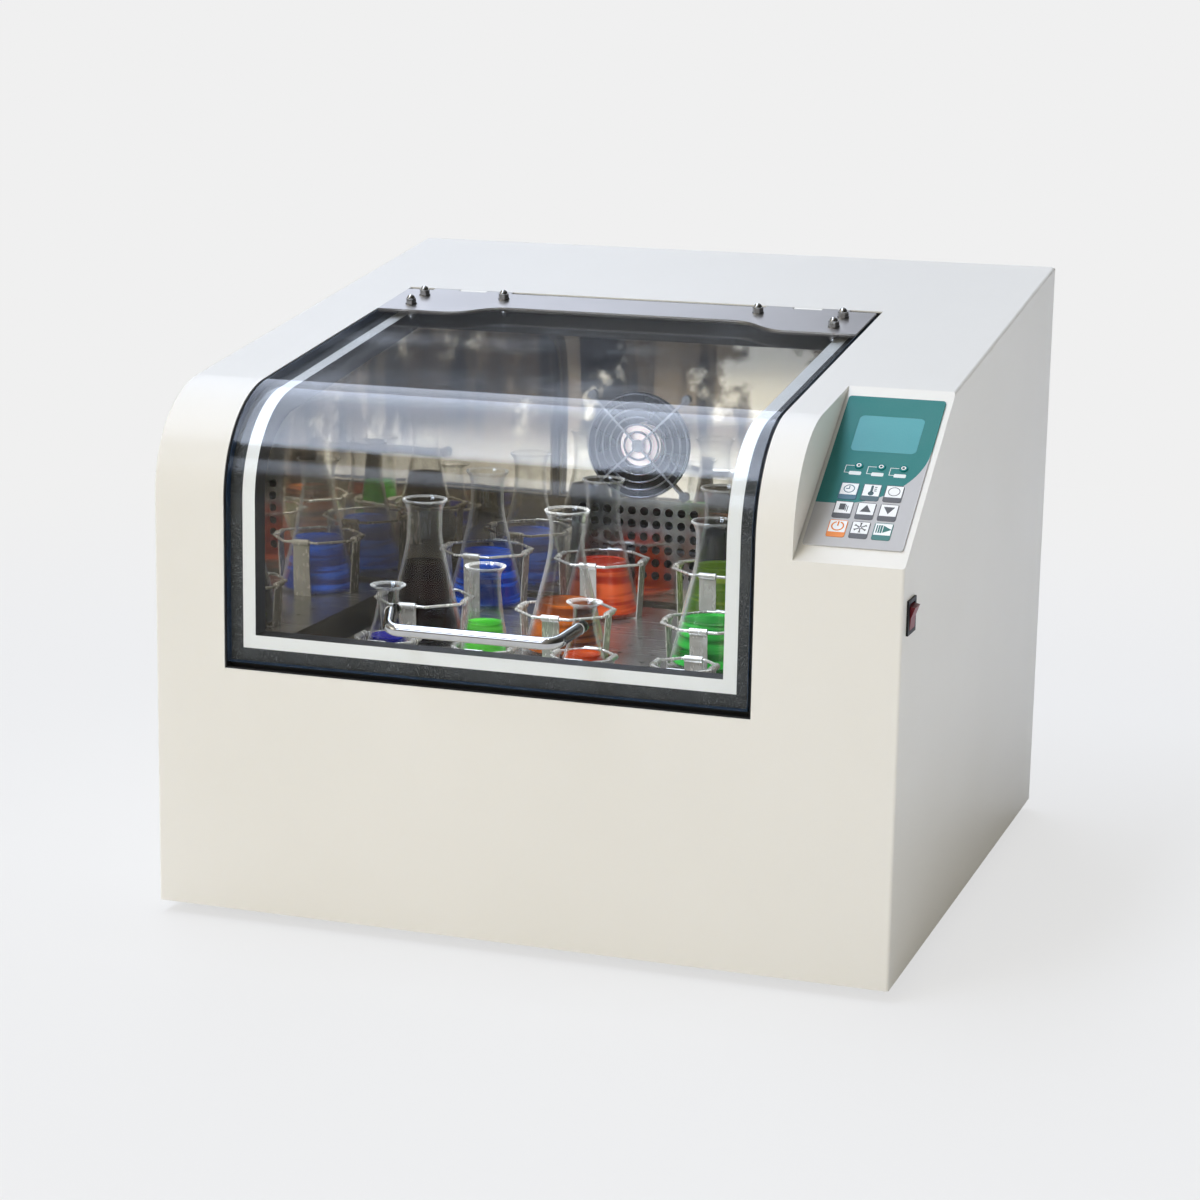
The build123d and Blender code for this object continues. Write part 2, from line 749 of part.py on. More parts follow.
def heater_element():
    """A serpentine tube heater whose two ends pass through the duct's side."""
    y = plenum_front + heater_depth
    reach_left = plenum_left + liner_sheet + heater_side_gap
    reach_right = plenum_right - liner_sheet - heater_side_gap
    low = plenum_low + heater_first
    points = [(plenum_left + liner_sheet, y, low)]
    for k in range(heater_rows):
        z = low + k * heater_pitch
        end = reach_right if k % 2 == 0 else reach_left
        start = points[-1][0] if k == 0 else (reach_left if k % 2 == 0 else reach_right)
        if k:
            points.append((start, y, z))
        points.append((end, y, z))
    points[-1] = (plenum_left + liner_sheet, y, low + (heater_rows - 1) * heater_pitch)
    path = FilletPolyline(*points, radius=heater_bend)
    section = Plane(origin=points[0], z_dir=(1, 0, 0)) * Circle(heater_radius)
    return sweep(section, path=path)


def finned_coil(width, depth, height, fins, tubes):
    """Upright fins across straight tubes, standing on its lower face."""
    coil = None
    for k in range(fins):
        fin = Pos(-width / 2 + fin_thickness / 2 + k * (width - fin_thickness) / (fins - 1), 0, height / 2)
        fin = fin * Box(fin_thickness, depth, height)
        coil = fin if coil is None else coil + fin
    for k in range(tubes):
        z = (k + 0.5) * height / tubes
        coil += across(-width / 2, width / 2, 0, z, tube_radius)
    return coil


def evaporator_coil():
    width = plenum_right - plenum_left - 2 * liner_sheet - 2 * insulation_gap
    height = grille_height
    middle = plenum_front + plenum_depth - liner_sheet - insulation_gap - coil_depth / 2
    coil = finned_coil(width, coil_depth, height, coil_fins, coil_tubes)
    return Pos((plenum_left + plenum_right) / 2, middle, plenum_low + liner_sheet) * coil


def compressor():
    """Hermetic compressor can on a foot plate."""
    can = Cylinder(compressor_radius, compressor_height, align=(Align.CENTER, Align.CENTER, Align.MIN))
    can = fillet(can.edges().group_by(Axis.Z)[-1], compressor_dome)
    plate = rounded_plate(compressor_plate, compressor_plate, compressor_plate_thickness,
                          compressor_plate_corner)
    machine = Pos(0, 0, compressor_post) * plate
    machine += Pos(0, 0, compressor_post + compressor_plate_thickness) * can
    for x in (-compressor_post_offset, compressor_post_offset):
        for y in (-compressor_post_offset, compressor_post_offset):
            machine += post(x, y, 0, compressor_post, compressor_post_radius)
    return Pos(compressor_x, compressor_y, pan_top) * machine


def condenser():
    coil = finned_coil(condenser_width, coil_depth, condenser_height, condenser_fins, condenser_tubes)
    return Pos(condenser_x, condenser_y, pan_top) * coil


# ---- hinges, lid and handle -----------------------------------------------
def hinge_places():
    return [lid_center_x - hinge_offset, lid_center_x + hinge_offset]


def hinge_axis(x, length, radius):
    """A cylinder on the hinge line, centred at x."""
    axis_depth = plate_thickness - knuckle_radius
    return on_roof(x, 0, axis_depth) * Rot(0, 90, 0) * Cylinder(radius, length)


body_knuckle = hinge_length / 3
lid_knuckle = (hinge_length - body_knuckle) / 2 - knuckle_gap
lid_knuckle_offset = body_knuckle / 2 + knuckle_gap + lid_knuckle / 2


def hinge_body_leaves():
    solids = []
    leaf_top = -sheet - seat_gap
    for x in hinge_places():
        leaf = Box(body_knuckle, body_leaf_length, body_leaf_thickness,
                   align=(Align.CENTER, Align.MIN, Align.MAX))
        leaf = on_roof(x, 0, leaf_top) * leaf + hinge_axis(x, body_knuckle, knuckle_radius)
        solids.append(leaf - hinge_axis(x, hinge_length, hinge_pin_radius))
    return solids


def hinge_pins():
    return [hinge_axis(x, hinge_length, hinge_pin_radius) for x in hinge_places()]


def bolt_places():
    """X and distance forward of the hinge line of each lid bolt."""
    places = []
    for sign in (-1, 1):
        places.append((lid_center_x + sign * outer_bolt_offset, front_bolt_distance))
        places.append((lid_center_x + sign * outer_bolt_offset, rear_bolt_distance))
        places.append((lid_center_x + sign * inner_bolt_offset, rear_bolt_distance))
    return places


def hinge_plate():
    """Stainless plate on the lid, with a waved front edge and knuckles rolled at its back."""
    half = lid_width / 2
    back = -plate_back_edge
    ends = -plate_end_edge
    middle = -plate_middle_edge
    bend = (plate_end_half + plate_middle_half) / 2
    edge = Polyline((-plate_end_half, ends), (-half, ends), (-half, back), (half, back), (half, ends),
                    (plate_end_half, ends))
    edge += Bezier((plate_end_half, ends), (bend, ends), (bend, middle), (plate_middle_half, middle))
    edge += Line((plate_middle_half, middle), (-plate_middle_half, middle))
    edge += Bezier((-plate_middle_half, middle), (-bend, middle), (-bend, ends), (-plate_end_half, ends))
    plate = on_roof(lid_center_x, 0, 0) * extrude(make_face(edge), amount=plate_thickness)
    for x in hinge_places():
        for sign in (-1, 1):
            knuckle_x = x + sign * lid_knuckle_offset
            tab = Box(lid_knuckle, 2 * plate_back_edge, plate_thickness,
                      align=(Align.CENTER, Align.MIN, Align.MIN))
            plate += on_roof(knuckle_x, 2 * plate_back_edge, 0) * tab
            plate += hinge_axis(knuckle_x, lid_knuckle, knuckle_radius)
            plate -= hinge_axis(knuckle_x, 2 * lid_knuckle, hinge_pin_radius + hinge_fit)
    for x, distance in bolt_places():
        plate -= on_roof(x, distance, 0) * Cylinder(bolt_hole_radius, 3 * lid_thickness)
    return plate


def lid_panel():
    """One sheet of clear acrylic, bent to the cabinet's outline."""
    lid = skin(0, lid_thickness, lid_left, lid_right, lid_rear, lid_bottom)
    head_room = bolt_head_radius + bolt_hole_radius - bolt_radius
    for x, distance in bolt_places():
        lid -= on_roof(x, distance, 0) * Cylinder(bolt_hole_radius, 3 * lid_thickness)
        lid -= on_roof(x, distance, -lid_thickness) * Cylinder(head_room, 2 * bolt_head_height)
    for sign in (-1, 1):
        screw = Rot(90, 0, 0) * Cylinder(bolt_radius, 3 * lid_thickness)
        lid -= Pos(handle_x + sign * handle_root_half, front, handle_root_height) * screw
    return lid


def acorn_nuts():
    """Domed nuts on washers, on the hinge plate."""
    solids = []
    for x, distance in bolt_places():
        washer = Cylinder(washer_radius, washer_thickness, align=(Align.CENTER, Align.CENTER, Align.MIN))
        hexagon = RegularPolygon(nut_across_flats / 2, 6, major_radius=False)
        nut = washer + Pos(0, 0, washer_thickness) * extrude(hexagon, amount=nut_height)
        dome_base = washer_thickness + nut_height
        dome = Pos(0, 0, dome_base) * Sphere(nut_dome_radius)
        nut += dome & (Pos(0, 0, dome_base + nut_dome_radius) * Box(far, far, 2 * nut_dome_radius))
        nut -= Cylinder(bolt_radius, 2 * dome_base)
        solids.append(on_roof(x, distance, plate_thickness) * nut)
    return solids


def lid_bolts():
    """Flat-headed bolts let into the inside of the lid, up into the domed nuts."""
    solids = []
    top = plate_thickness + washer_thickness + nut_height
    for x, distance in bolt_places():
        shank = Cylinder(bolt_radius, top + lid_thickness, align=(Align.CENTER, Align.CENTER, Align.MIN))
        head = Cylinder(bolt_head_radius, bolt_head_height, align=(Align.CENTER, Align.CENTER, Align.MIN))
        solids.append(on_roof(x, distance, -lid_thickness) * (shank + head))
    return solids


handle_root_height = handle_height + handle_root_rise


def lid_handle():
    """Bent stainless tube in front of the lid, held by a screw in each end."""
    root_y = front
    bar_y = front - handle_reach
    points = [(handle_x - handle_root_half, root_y, handle_root_height),
              (handle_x - handle_half, bar_y, handle_height),
              (handle_x + handle_half, bar_y, handle_height),
              (handle_x + handle_root_half, root_y, handle_root_height)]
    path = FilletPolyline(*points, radius=handle_bend)
    start = Plane(origin=points[0], z_dir=path % 0)
    tube = sweep(start * Circle(handle_radius), path=path)
    for sign in (-1, 1):
        root = Pos(handle_x + sign * handle_root_half, root_y, handle_root_height)
        tube += root * Rot(90, 0, 0) * Cylinder(handle_radius, handle_root_length)
    tube -= block(-far, far, root_y, root_y + far, 0, rear_height)
    screw_length = lid_thickness + handle_screw_depth
    screws = []
    for sign in (-1, 1):
        x = handle_x + sign * handle_root_half
        shank = Rot(90, 0, 0) * Cylinder(handle_screw_radius, screw_length)
        shank = Pos(x, root_y + lid_thickness - screw_length / 2, handle_root_height) * shank
        head = Rot(90, 0, 0) * Cylinder(bolt_head_radius, bolt_head_height)
        head = Pos(x, root_y + lid_thickness + bolt_head_height / 2, handle_root_height) * head
        tube -= shank
        screws.append(shank + head)
    return [tube] + screws


# ---- control panel ----------------------------------------------------------
panel_middle = overlay_margin_x + overlay_width / 2


def key_places():
    """U and V of each key, row by row from the bottom."""
    places = []
    for row in range(key_rows):
        for column in range(key_columns):
            u = panel_middle + key_offset + (column - (key_columns - 1) / 2) * key_pitch_x
            places.append((u, key_first + row * key_pitch_y))
    return places


def lamp_places():
    return [panel_middle + lamp_offset + k * key_pitch_x for k in (-1, 0, 1)]


def display_place():
    return panel_middle + display_offset, display_start + display_length / 2


def panel_overlay():
    plate = rounded_plate(overlay_width, overlay_length, overlay_thickness, overlay_corner)
    overlay = on_panel(panel_middle, overlay_start + overlay_length / 2, 0) * plate
    for u, v in key_places():
        cut = rounded_plate(key_width + 2 * key_gap, key_length + 2 * key_gap, 4 * overlay_thickness,
                            key_corner + key_gap)
        overlay -= on_panel(u, v, -overlay_thickness) * cut
    for u in lamp_places():
        overlay -= on_panel(u, lamp_row, 0) * Cylinder(lamp_radius + inlay_gap, 4 * overlay_thickness)
    u, v = display_place()
    window = rounded_plate(display_width + 2 * inlay_gap, display_length + 2 * inlay_gap,
                           4 * overlay_thickness, display_corner)
    overlay -= on_panel(u, v, -overlay_thickness) * window
    return overlay


def display_window():
    u, v = display_place()
    return on_panel(u, v, 0) * rounded_plate(display_width, display_length, overlay_thickness, display_corner)


def indicator_leds():
    solids = []
    for u in lamp_places():
        lens = Cylinder(lamp_radius, lamp_height + sheet, align=(Align.CENTER, Align.CENTER, Align.MIN))
        lens = chamfer(lens.edges().group_by(Axis.Z)[-1], lamp_chamfer)
        solids.append(on_panel(u, lamp_row, -sheet) * lens)
    return solids


def key(u, v):
    """A key cap with a stem that reaches through the panel to its switch."""
    cap_bottom = overlay_thickness + key_proud - key_thickness
    cap = Pos(0, 0, cap_bottom) * rounded_plate(key_width, key_length, key_thickness, key_corner)
    stem_length = cap_bottom + key_stem_drop
    stem = Cylinder(key_stem_radius, stem_length, align=(Align.CENTER, Align.CENTER, Align.MIN))
    return on_panel(u, v, 0) * (cap + Pos(0, 0, -key_stem_drop) * stem)


def control_board():
    """Circuit board on spacers behind the panel, with key switches and the display."""
    board_top = board_thickness - board_depth
    u, v = display_place()
    low = key_first - key_length / 2 - board_margin
    high = display_start + display_length + board_margin
    width = display_width + 2 * board_margin
    board = Box(width, high - low, board_thickness, align=(Align.CENTER, Align.CENTER, Align.MIN))
    solids = [on_panel(panel_middle, (low + high) / 2, -board_depth) * board]
    switch_top = -key_stem_drop - key_travel - running_fit
    for key_u, key_v in key_places():
        switch = Box(switch_body, switch_body, switch_top - board_top,
                     align=(Align.CENTER, Align.CENTER, Align.MIN))
        solids.append(on_panel(key_u, key_v, board_top) * switch)
    module = Box(display_width - 3 * display_lip, display_length - 3 * display_lip, -board_top,
                 align=(Align.CENTER, Align.CENTER, Align.MIN))
    solids.append(on_panel(u, v, board_top) * module)
    spacer_height = -sheet - board_top
    for side in (-1, 1):
        for end_v in (low + 2 * spacer_radius, high - 2 * spacer_radius):
            spacer = Cylinder(spacer_radius, spacer_height, align=(Align.CENTER, Align.CENTER, Align.MIN))
            spacer_u = panel_middle + side * (width / 2 - spacer_radius)
            solids.append(on_panel(spacer_u, end_v, board_top) * spacer)
    return solids


# ---- rocker switch -----------------------------------------------------------
rocker_pivot_x = right + bezel_thickness - rocker_pivot_depth


def switch_bezel():
    """Black frame with a deep body behind the casing's side."""
    body_y = bezel_width / 2 - bezel_wall / 2 - inlay_gap
    body_z = bezel_height / 2 - bezel_wall / 2 - inlay_gap
    bezel = block(right, right + bezel_thickness, switch_y - bezel_width / 2, switch_y + bezel_width / 2,
                  switch_z - bezel_height / 2, switch_z + bezel_height / 2)
    bezel += block(right - switch_depth, right, switch_y - body_y, switch_y + body_y,
                   switch_z - body_z, switch_z + body_z)
    swing = rocker_half_height * cos(radians(rocker_tilt)) + rocker_face * sin(radians(rocker_tilt))
    room_y = rocker_width / 2 + rocker_gap
    room_z = swing + rocker_gap
    bezel -= block(right - switch_depth + bezel_wall, right + 2 * bezel_thickness, switch_y - room_y,
                   switch_y + room_y, switch_z - room_z, switch_z + room_z)
    pivot = Rot(90, 0, 0) * Cylinder(rocker_pivot_radius + running_fit, 2 * body_y)
    return bezel - Pos(rocker_pivot_x, switch_y, switch_z) * pivot


def power_rocker():
    """A rocker with a dished face, its upper end out."""
    shape = Polyline((rocker_face, rocker_half_height), (rocker_waist, 0), (rocker_face, -rocker_half_height),
                     (-rocker_side_depth, -rocker_half_height), (-rocker_waist, -rocker_waist_half),
                     (-rocker_waist, rocker_waist_half), (-rocker_side_depth, rocker_half_height),
                     (rocker_face, rocker_half_height))
    face = Rot(90, 0, 0) * make_face(shape)
    rocker = Pos(0, rocker_width / 2, 0) * extrude(face, amount=rocker_width)
    rocker_pin = rocker_width + 2 * (rocker_gap + rocker_pin_end)
    rocker += Rot(90, 0, 0) * Cylinder(rocker_pivot_radius, rocker_pin)
    return Pos(rocker_pivot_x, switch_y, switch_z) * Rot(0, rocker_tilt, 0) * rocker


# ---- platform drive ------------------------------------------------------------
idler_places = [(-idler_x, -idler_y), (idler_x, -idler_y), (0, idler_y)]
bearing_low = crank_bottom + crank_thickness + hub_gap
deck_top = deck_height + deck_sheet
bearing_top = chamber_floor - liner_sheet - insulation_gap
motor_x = shaft_x + motor_distance


def drive_deck():
    """A folded deck that bridges the base pan and carries the main bearing."""
    x0 = chamber_left - deck_margin
    x1 = chamber_right + deck_margin
    deck = block(x0, x1, chamber_front, chamber_back, pan_top, deck_top)
    deck -= block(x0 + deck_sheet, x1 - deck_sheet, chamber_front - sheet, chamber_back + sheet,
                  foot_height, deck_height)
    return deck - post(shaft_x, shaft_y, deck_height - sheet, deck_top + sheet, shaft_radius + shaft_hole_gap)


def main_bearing_housing():
    housing = post(shaft_x, shaft_y, deck_top, bearing_top, bearing_radius)
    housing += post(shaft_x, shaft_y, deck_top, deck_top + bearing_flange_thickness, bearing_flange)
    return housing - post(shaft_x, shaft_y, deck_height, chamber_floor, shaft_radius + running_fit)


def main_shaft():
    """Upright shaft with a crank disc and an offset pin."""
    shaft = post(shaft_x, shaft_y, shaft_bottom, crank_bottom, shaft_radius)
    shaft += post(shaft_x, shaft_y, crank_bottom, crank_bottom + crank_thickness, crank_radius)
    return shaft + post(platform_x, shaft_y, crank_bottom, platform_bottom - hub_gap, pin_radius)


def pulley(x, radius):
    """A flanged belt pulley on an upright axis."""
    top = pulley_bottom + pulley_height
    groove = (pulley_height - belt_width) / 2 - belt_side_gap
    wheel = post(x, shaft_y, pulley_bottom, top, radius + pulley_flange)
    ring = post(x, shaft_y, pulley_bottom + groove, top - groove, radius + 2 * pulley_flange)
    return wheel - (ring - post(x, shaft_y, pulley_bottom, top, radius))


def driven_pulley():
    wheel = pulley(shaft_x, driven_pulley_radius)
    return wheel - post(shaft_x, shaft_y, shaft_bottom, deck_height, shaft_radius)


def motor_pulley():
    shaft_low = pan_top + motor_height / 2
    shaft = post(motor_x, shaft_y, shaft_low, pulley_bottom + pulley_height, motor_shaft_radius)
    return pulley(motor_x, motor_pulley_radius) + shaft


def belt_band(grow):
    """The space inside an open belt round both pulleys, grown by a distance."""
    big = driven_pulley_radius + grow
    small = motor_pulley_radius + grow
    lean = (big - small) / motor_distance
    rise = (1 - lean ** 2) ** 0.5
    z0 = pulley_bottom + (pulley_height - belt_width) / 2
    corners = [(big * lean, big * rise), (motor_distance + small * lean, small * rise),
               (motor_distance + small * lean, -small * rise), (big * lean, -big * rise)]
    band = extrude(make_face(Polyline(*corners, corners[0])), amount=belt_width)
    round_ends = Cylinder(big, belt_width, align=(Align.CENTER, Align.CENTER, Align.MIN))
    tip = Cylinder(small, belt_width, align=(Align.CENTER, Align.CENTER, Align.MIN))
    return Pos(shaft_x, shaft_y, z0) * (band + round_ends + Pos(motor_distance, 0, 0) * tip)


def drive_belt():
    return belt_band(belt_gap + belt_thickness) - belt_band(belt_gap)


def drive_motor():
    motor = post(motor_x, shaft_y, pan_top, pan_top + motor_height, motor_radius)
    foot_reach = motor_radius + motor_foot_reach
    motor += post(motor_x, shaft_y, pan_top, pan_top + motor_foot_thickness, foot_reach)
    hole_low = pan_top + motor_height / 2 - motor_shaft_end_gap
    hole_radius = motor_shaft_radius + running_fit
    return motor - post(motor_x, shaft_y, hole_low, pan_top + 2 * motor_height, hole_radius)


def counterweight():
    """A heavy half disc on the shaft, opposite the crank pin."""
    top = counterweight_bottom + counterweight_thickness
    weight = post(shaft_x, shaft_y, counterweight_bottom, top, counterweight_radius)
    weight -= block(shaft_x, shaft_x + far, shaft_y - far, shaft_y + far, counterweight_bottom, top)
    weight += post(shaft_x, shaft_y, counterweight_bottom, top, 2 * shaft_radius)
    return weight - post(shaft_x, shaft_y, shaft_bottom, deck_height, shaft_radius)


def idler_bases():
    solids = []
    top = chamber_floor + idler_base_height
    for dx, dy in idler_places:
        base = post(shaft_x + dx, shaft_y + dy, chamber_floor, top, idler_base_radius)
        bore_low = chamber_floor + idler_floor
        bore = post(shaft_x + dx, shaft_y + dy, bore_low, top + sheet, idler_pin + running_fit)
        solids.append(base - bore)
    return solids


def idler_crank(dx, dy):
    """A small crank between its base on the chamber floor and the platform."""
    base_x = shaft_x + dx
    pin_x = platform_x + dx
    y = shaft_y + dy
    arm_low = chamber_floor + idler_base_height + idler_lift
    arm_high = arm_low + idler_arm_thickness
    crank = post(base_x, y, chamber_floor + idler_floor + idler_end_gap, arm_high, idler_pin)
    crank += post(pin_x, y, arm_low, platform_bottom - hub_gap, idler_pin)
    crank += post(base_x, y, arm_low, arm_high, 2 * idler_pin)
    crank += post(pin_x, y, arm_low, arm_high, 2 * idler_pin)
    return crank + block(base_x, pin_x, y - 2 * idler_pin, y + 2 * idler_pin, arm_low, arm_high)


def platform_bearings():
    """Bearing hubs under the platform for the crank pin and the idler pins."""
    hub = post(platform_x, shaft_y, bearing_low, platform_bottom, hub_radius)
    bore_top = platform_bottom - bearing_cap
    hub -= post(platform_x, shaft_y, bearing_low - sheet, bore_top, pin_radius + running_fit)
    solids = [hub]
    idler_low = chamber_floor + idler_base_height + idler_arm_thickness + 2 * idler_lift
    for dx, dy in idler_places:
        hub = post(platform_x + dx, shaft_y + dy, idler_low, platform_bottom, idler_hub_radius)
        bore = post(platform_x + dx, shaft_y + dy, idler_low - sheet, bore_top, idler_pin + running_fit)
        solids.append(hub - bore)
    return solids


# ---- platform, clamps and flasks ------------------------------------------------
def platform_plate():
    """Stainless plate with a grid of tapped holes and a mounting hole in each corner."""
    plate = rounded_plate(platform_width, platform_depth, platform_thickness, platform_corner)
    holes = GridLocations(tap_pitch_x, tap_pitch_y, tap_columns, tap_rows)
    plate -= extrude(Sketch() + [place * Circle(tap_radius) for place in holes], amount=platform_thickness)
    corners = GridLocations(mount_spacing_x, mount_spacing_y, 2, 2)
    plate -= extrude(Sketch() + [place * Circle(mount_hole_radius) for place in corners],
                     amount=platform_thickness)
    return Pos(platform_x, shaft_y, platform_bottom) * plate


def flask_clamp(radius, foot, ring_height):
    """Crossed feet, four sprung arms, an eight-sided wire ring and a curled clip on each arm."""
    clamp = Box(2 * foot, clamp_arm_width, clamp_sheet, align=(Align.CENTER, Align.CENTER, Align.MIN))
    clamp += Box(clamp_arm_width, 2 * foot, clamp_sheet, align=(Align.CENTER, Align.CENTER, Align.MIN))
    lean = degrees(atan((radius - foot) / ring_height))
    arm_length = hypot(radius - foot, ring_height)
    side = 2 * radius * tan(pi / 8)
    for k in range(4):
        arm = Box(clamp_sheet, clamp_arm_width, arm_length, align=(Align.MAX, Align.CENTER, Align.MIN))
        clip = Rot(90, 0, 0) * Cylinder(clip_radius, clamp_arm_width)
        clamp += Rot(0, 0, 90 * k) * Pos(foot, 0, 0) * Rot(0, lean, 0) * arm
        clamp += Rot(0, 0, 90 * k) * Pos(radius, 0, ring_height) * clip
    for k in range(8):
        wire = Rot(90, 0, 0) * Cylinder(clamp_wire, side)
        clamp += Rot(0, 0, 45 * k) * Pos(radius, 0, ring_height) * wire
        corner = radius / cos(pi / 8)
        clamp += Rot(0, 0, 45 * k + 22.5) * Pos(corner, 0, ring_height) * Sphere(clamp_wire)
    return clamp


def flask(base, height, neck, rim):
    """A conical flask: base radius, height, neck radius and flared rim radius."""
    heel = base * flask_heel_share
    neck_low = height * flask_neck_share
    rim_height = height * flask_rim_share
    above = height + seat_gap
    outer = Polyline((0, 0), (base - heel, 0), (base, heel), (neck, neck_low), (neck, height - rim_height),
                     (rim, height), (0, height), (0, 0))
    inner = Polyline((0, glass), (base - heel, glass), (base - glass, heel + flask_heel_rise),
                     (neck - glass, neck_low), (neck - glass, height - rim_height), (rim - glass, above),
                     (0, above), (0, glass))
    body = revolve(Plane.XZ * make_face(outer), axis=Axis.Z)
    return body - revolve(Plane.XZ * make_face(inner), axis=Axis.Z)


def row(first, pitch, count, y):
    return [(first + k * pitch, y) for k in range(count)]


back_row = row(back_row_x, back_row_pitch, large_per_row, back_row_y)
front_row = row(front_row_x, front_row_pitch, large_per_row, front_row_y)
small_row = row(small_row_x, small_row_pitch, small_clamps, small_row_y)


def clamps_large():
    tall = flask_clamp(large_clamp_radius, large_clamp_foot, back_ring_height)
    low = flask_clamp(large_clamp_radius, large_clamp_foot, front_ring_height)
    solids = [Pos(x, y, platform_top) * tall for x, y in back_row]
    return solids + [Pos(x, y, platform_top) * low for x, y in front_row]


def clamps_small():
    clamp = flask_clamp(small_clamp_radius, small_clamp_foot, small_ring_height)
    return [Pos(x, y, platform_top) * clamp for x, y in small_row]


def flasks_large():
    """Flasks of 250 ml in the six large clamps."""
    bottle = flask(**flask_250_ml)
    return [Pos(x, y, clamp_top) * bottle for x, y in back_row + front_row]


def flasks_small():
    """Two flasks of 50 ml and one of 100 ml, with the last small clamp left empty."""
    small = flask(**flask_50_ml)
    bottles = [small, flask(**flask_100_ml), small]
    return [Pos(x, y, clamp_top) * bottle for (x, y), bottle in zip(small_row, bottles)]


# ---- all the pieces ---------------------------------------------------------------
def all_pieces():
    pieces = {
        "outer_casing": outer_casing(), "base_pan": base_pan(), "feet": feet(),
        "rear_cover": rear_cover(), "rear_cover_screws": rear_cover_screws(),
        "power_inlet": power_inlet(), "lid_seat_frame": lid_seat_frame(),
        "seat_gasket": seat_gasket(), "seal_strip": seal_strip(),
        "chamber_liner": chamber_liner(), "chamber_insulation": chamber_insulation(),
        "return_grille": return_grille(), "fan_guard": fan_guard(),
        "fan_housing": fan_housing(), "fan_impeller": fan_impeller(),
        "plenum_box": plenum_box(), "heater_element": heater_element(),
        "evaporator_coil": evaporator_coil(), "compressor": compressor(),
        "condenser": condenser(), "hinge_body_leaves": hinge_body_leaves(),
        "hinge_pins": hinge_pins(), "hinge_plate": hinge_plate(), "lid_panel": lid_panel(),
        "acorn_nuts": acorn_nuts(), "lid_bolts": lid_bolts(), "lid_handle": lid_handle(),
        "panel_overlay": panel_overlay(), "display_window": display_window(),
        "indicator_leds": indicator_leds(), "control_board": control_board(),
        "switch_bezel": switch_bezel(), "power_rocker": power_rocker(),
        "drive_deck": drive_deck(), "main_bearing_housing": main_bearing_housing(),
        "main_shaft": main_shaft(), "driven_pulley": driven_pulley(),
        "counterweight": counterweight(), "drive_belt": drive_belt(),
        "drive_motor": drive_motor(), "motor_pulley": motor_pulley(),
        "idler_bases": idler_bases(), "platform_plate": platform_plate(),
        "platform_bearings": platform_bearings(), "clamps_large": clamps_large(),
        "clamps_small": clamps_small(), "flasks_large": flasks_large(),
        "flasks_small": flasks_small(),
    }
    for number, (dx, dy) in enumerate(idler_places, 1):
        pieces[f"idler_crank_{number}"] = idler_crank(dx, dy)
    for number, (u, v) in enumerate(key_places(), 1):
        pieces[f"key_{number}"] = key(u, v)
    return pieces


def solids_of(piece):
    parts = piece if isinstance(piece, list) else [piece]
    return [solid for part in parts for solid in part.solids()]


def origin_shift(pieces):
    """The bottom centre of the box round every piece, which becomes the origin."""
    boxes = [solid.bounding_box() for piece in pieces.values() for solid in solids_of(piece)]
    x = (min(box.min.X for box in boxes) + max(box.max.X for box in boxes)) / 2
    y = (min(box.min.Y for box in boxes) + max(box.max.Y for box in boxes)) / 2
    return x, y


pieces = all_pieces()
center_x, center_y = origin_shift(pieces)
os.makedirs("parts", exist_ok=True)
for name, piece in pieces.items():
    moved = [Pos(-center_x, -center_y, 0) * solid for solid in solids_of(piece)]
    export_step(moved[0] if len(moved) == 1 else Compound(children=moved), f"parts/{name}.step")
print("cabinet centre in the object's frame:", round(-center_x, 3), round(-center_y, 3))
print(len(pieces), "nodes written")
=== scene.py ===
from math import atan2, cos, degrees, pi, radians, sin

import bpy
from mathutils import Matrix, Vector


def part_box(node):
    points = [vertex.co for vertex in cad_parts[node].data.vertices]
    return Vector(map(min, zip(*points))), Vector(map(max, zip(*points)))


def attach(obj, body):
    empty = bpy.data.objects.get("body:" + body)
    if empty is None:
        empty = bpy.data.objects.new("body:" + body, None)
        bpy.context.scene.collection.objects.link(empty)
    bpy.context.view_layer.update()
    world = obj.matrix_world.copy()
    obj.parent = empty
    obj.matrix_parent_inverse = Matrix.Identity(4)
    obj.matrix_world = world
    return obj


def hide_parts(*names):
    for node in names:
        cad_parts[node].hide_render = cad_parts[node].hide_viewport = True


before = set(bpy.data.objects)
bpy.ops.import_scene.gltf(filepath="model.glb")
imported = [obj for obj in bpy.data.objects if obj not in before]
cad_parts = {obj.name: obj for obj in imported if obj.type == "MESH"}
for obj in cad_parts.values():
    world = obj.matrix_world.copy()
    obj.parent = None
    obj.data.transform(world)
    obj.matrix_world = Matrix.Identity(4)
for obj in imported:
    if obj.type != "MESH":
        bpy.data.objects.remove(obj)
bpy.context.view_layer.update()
mm = 0.001


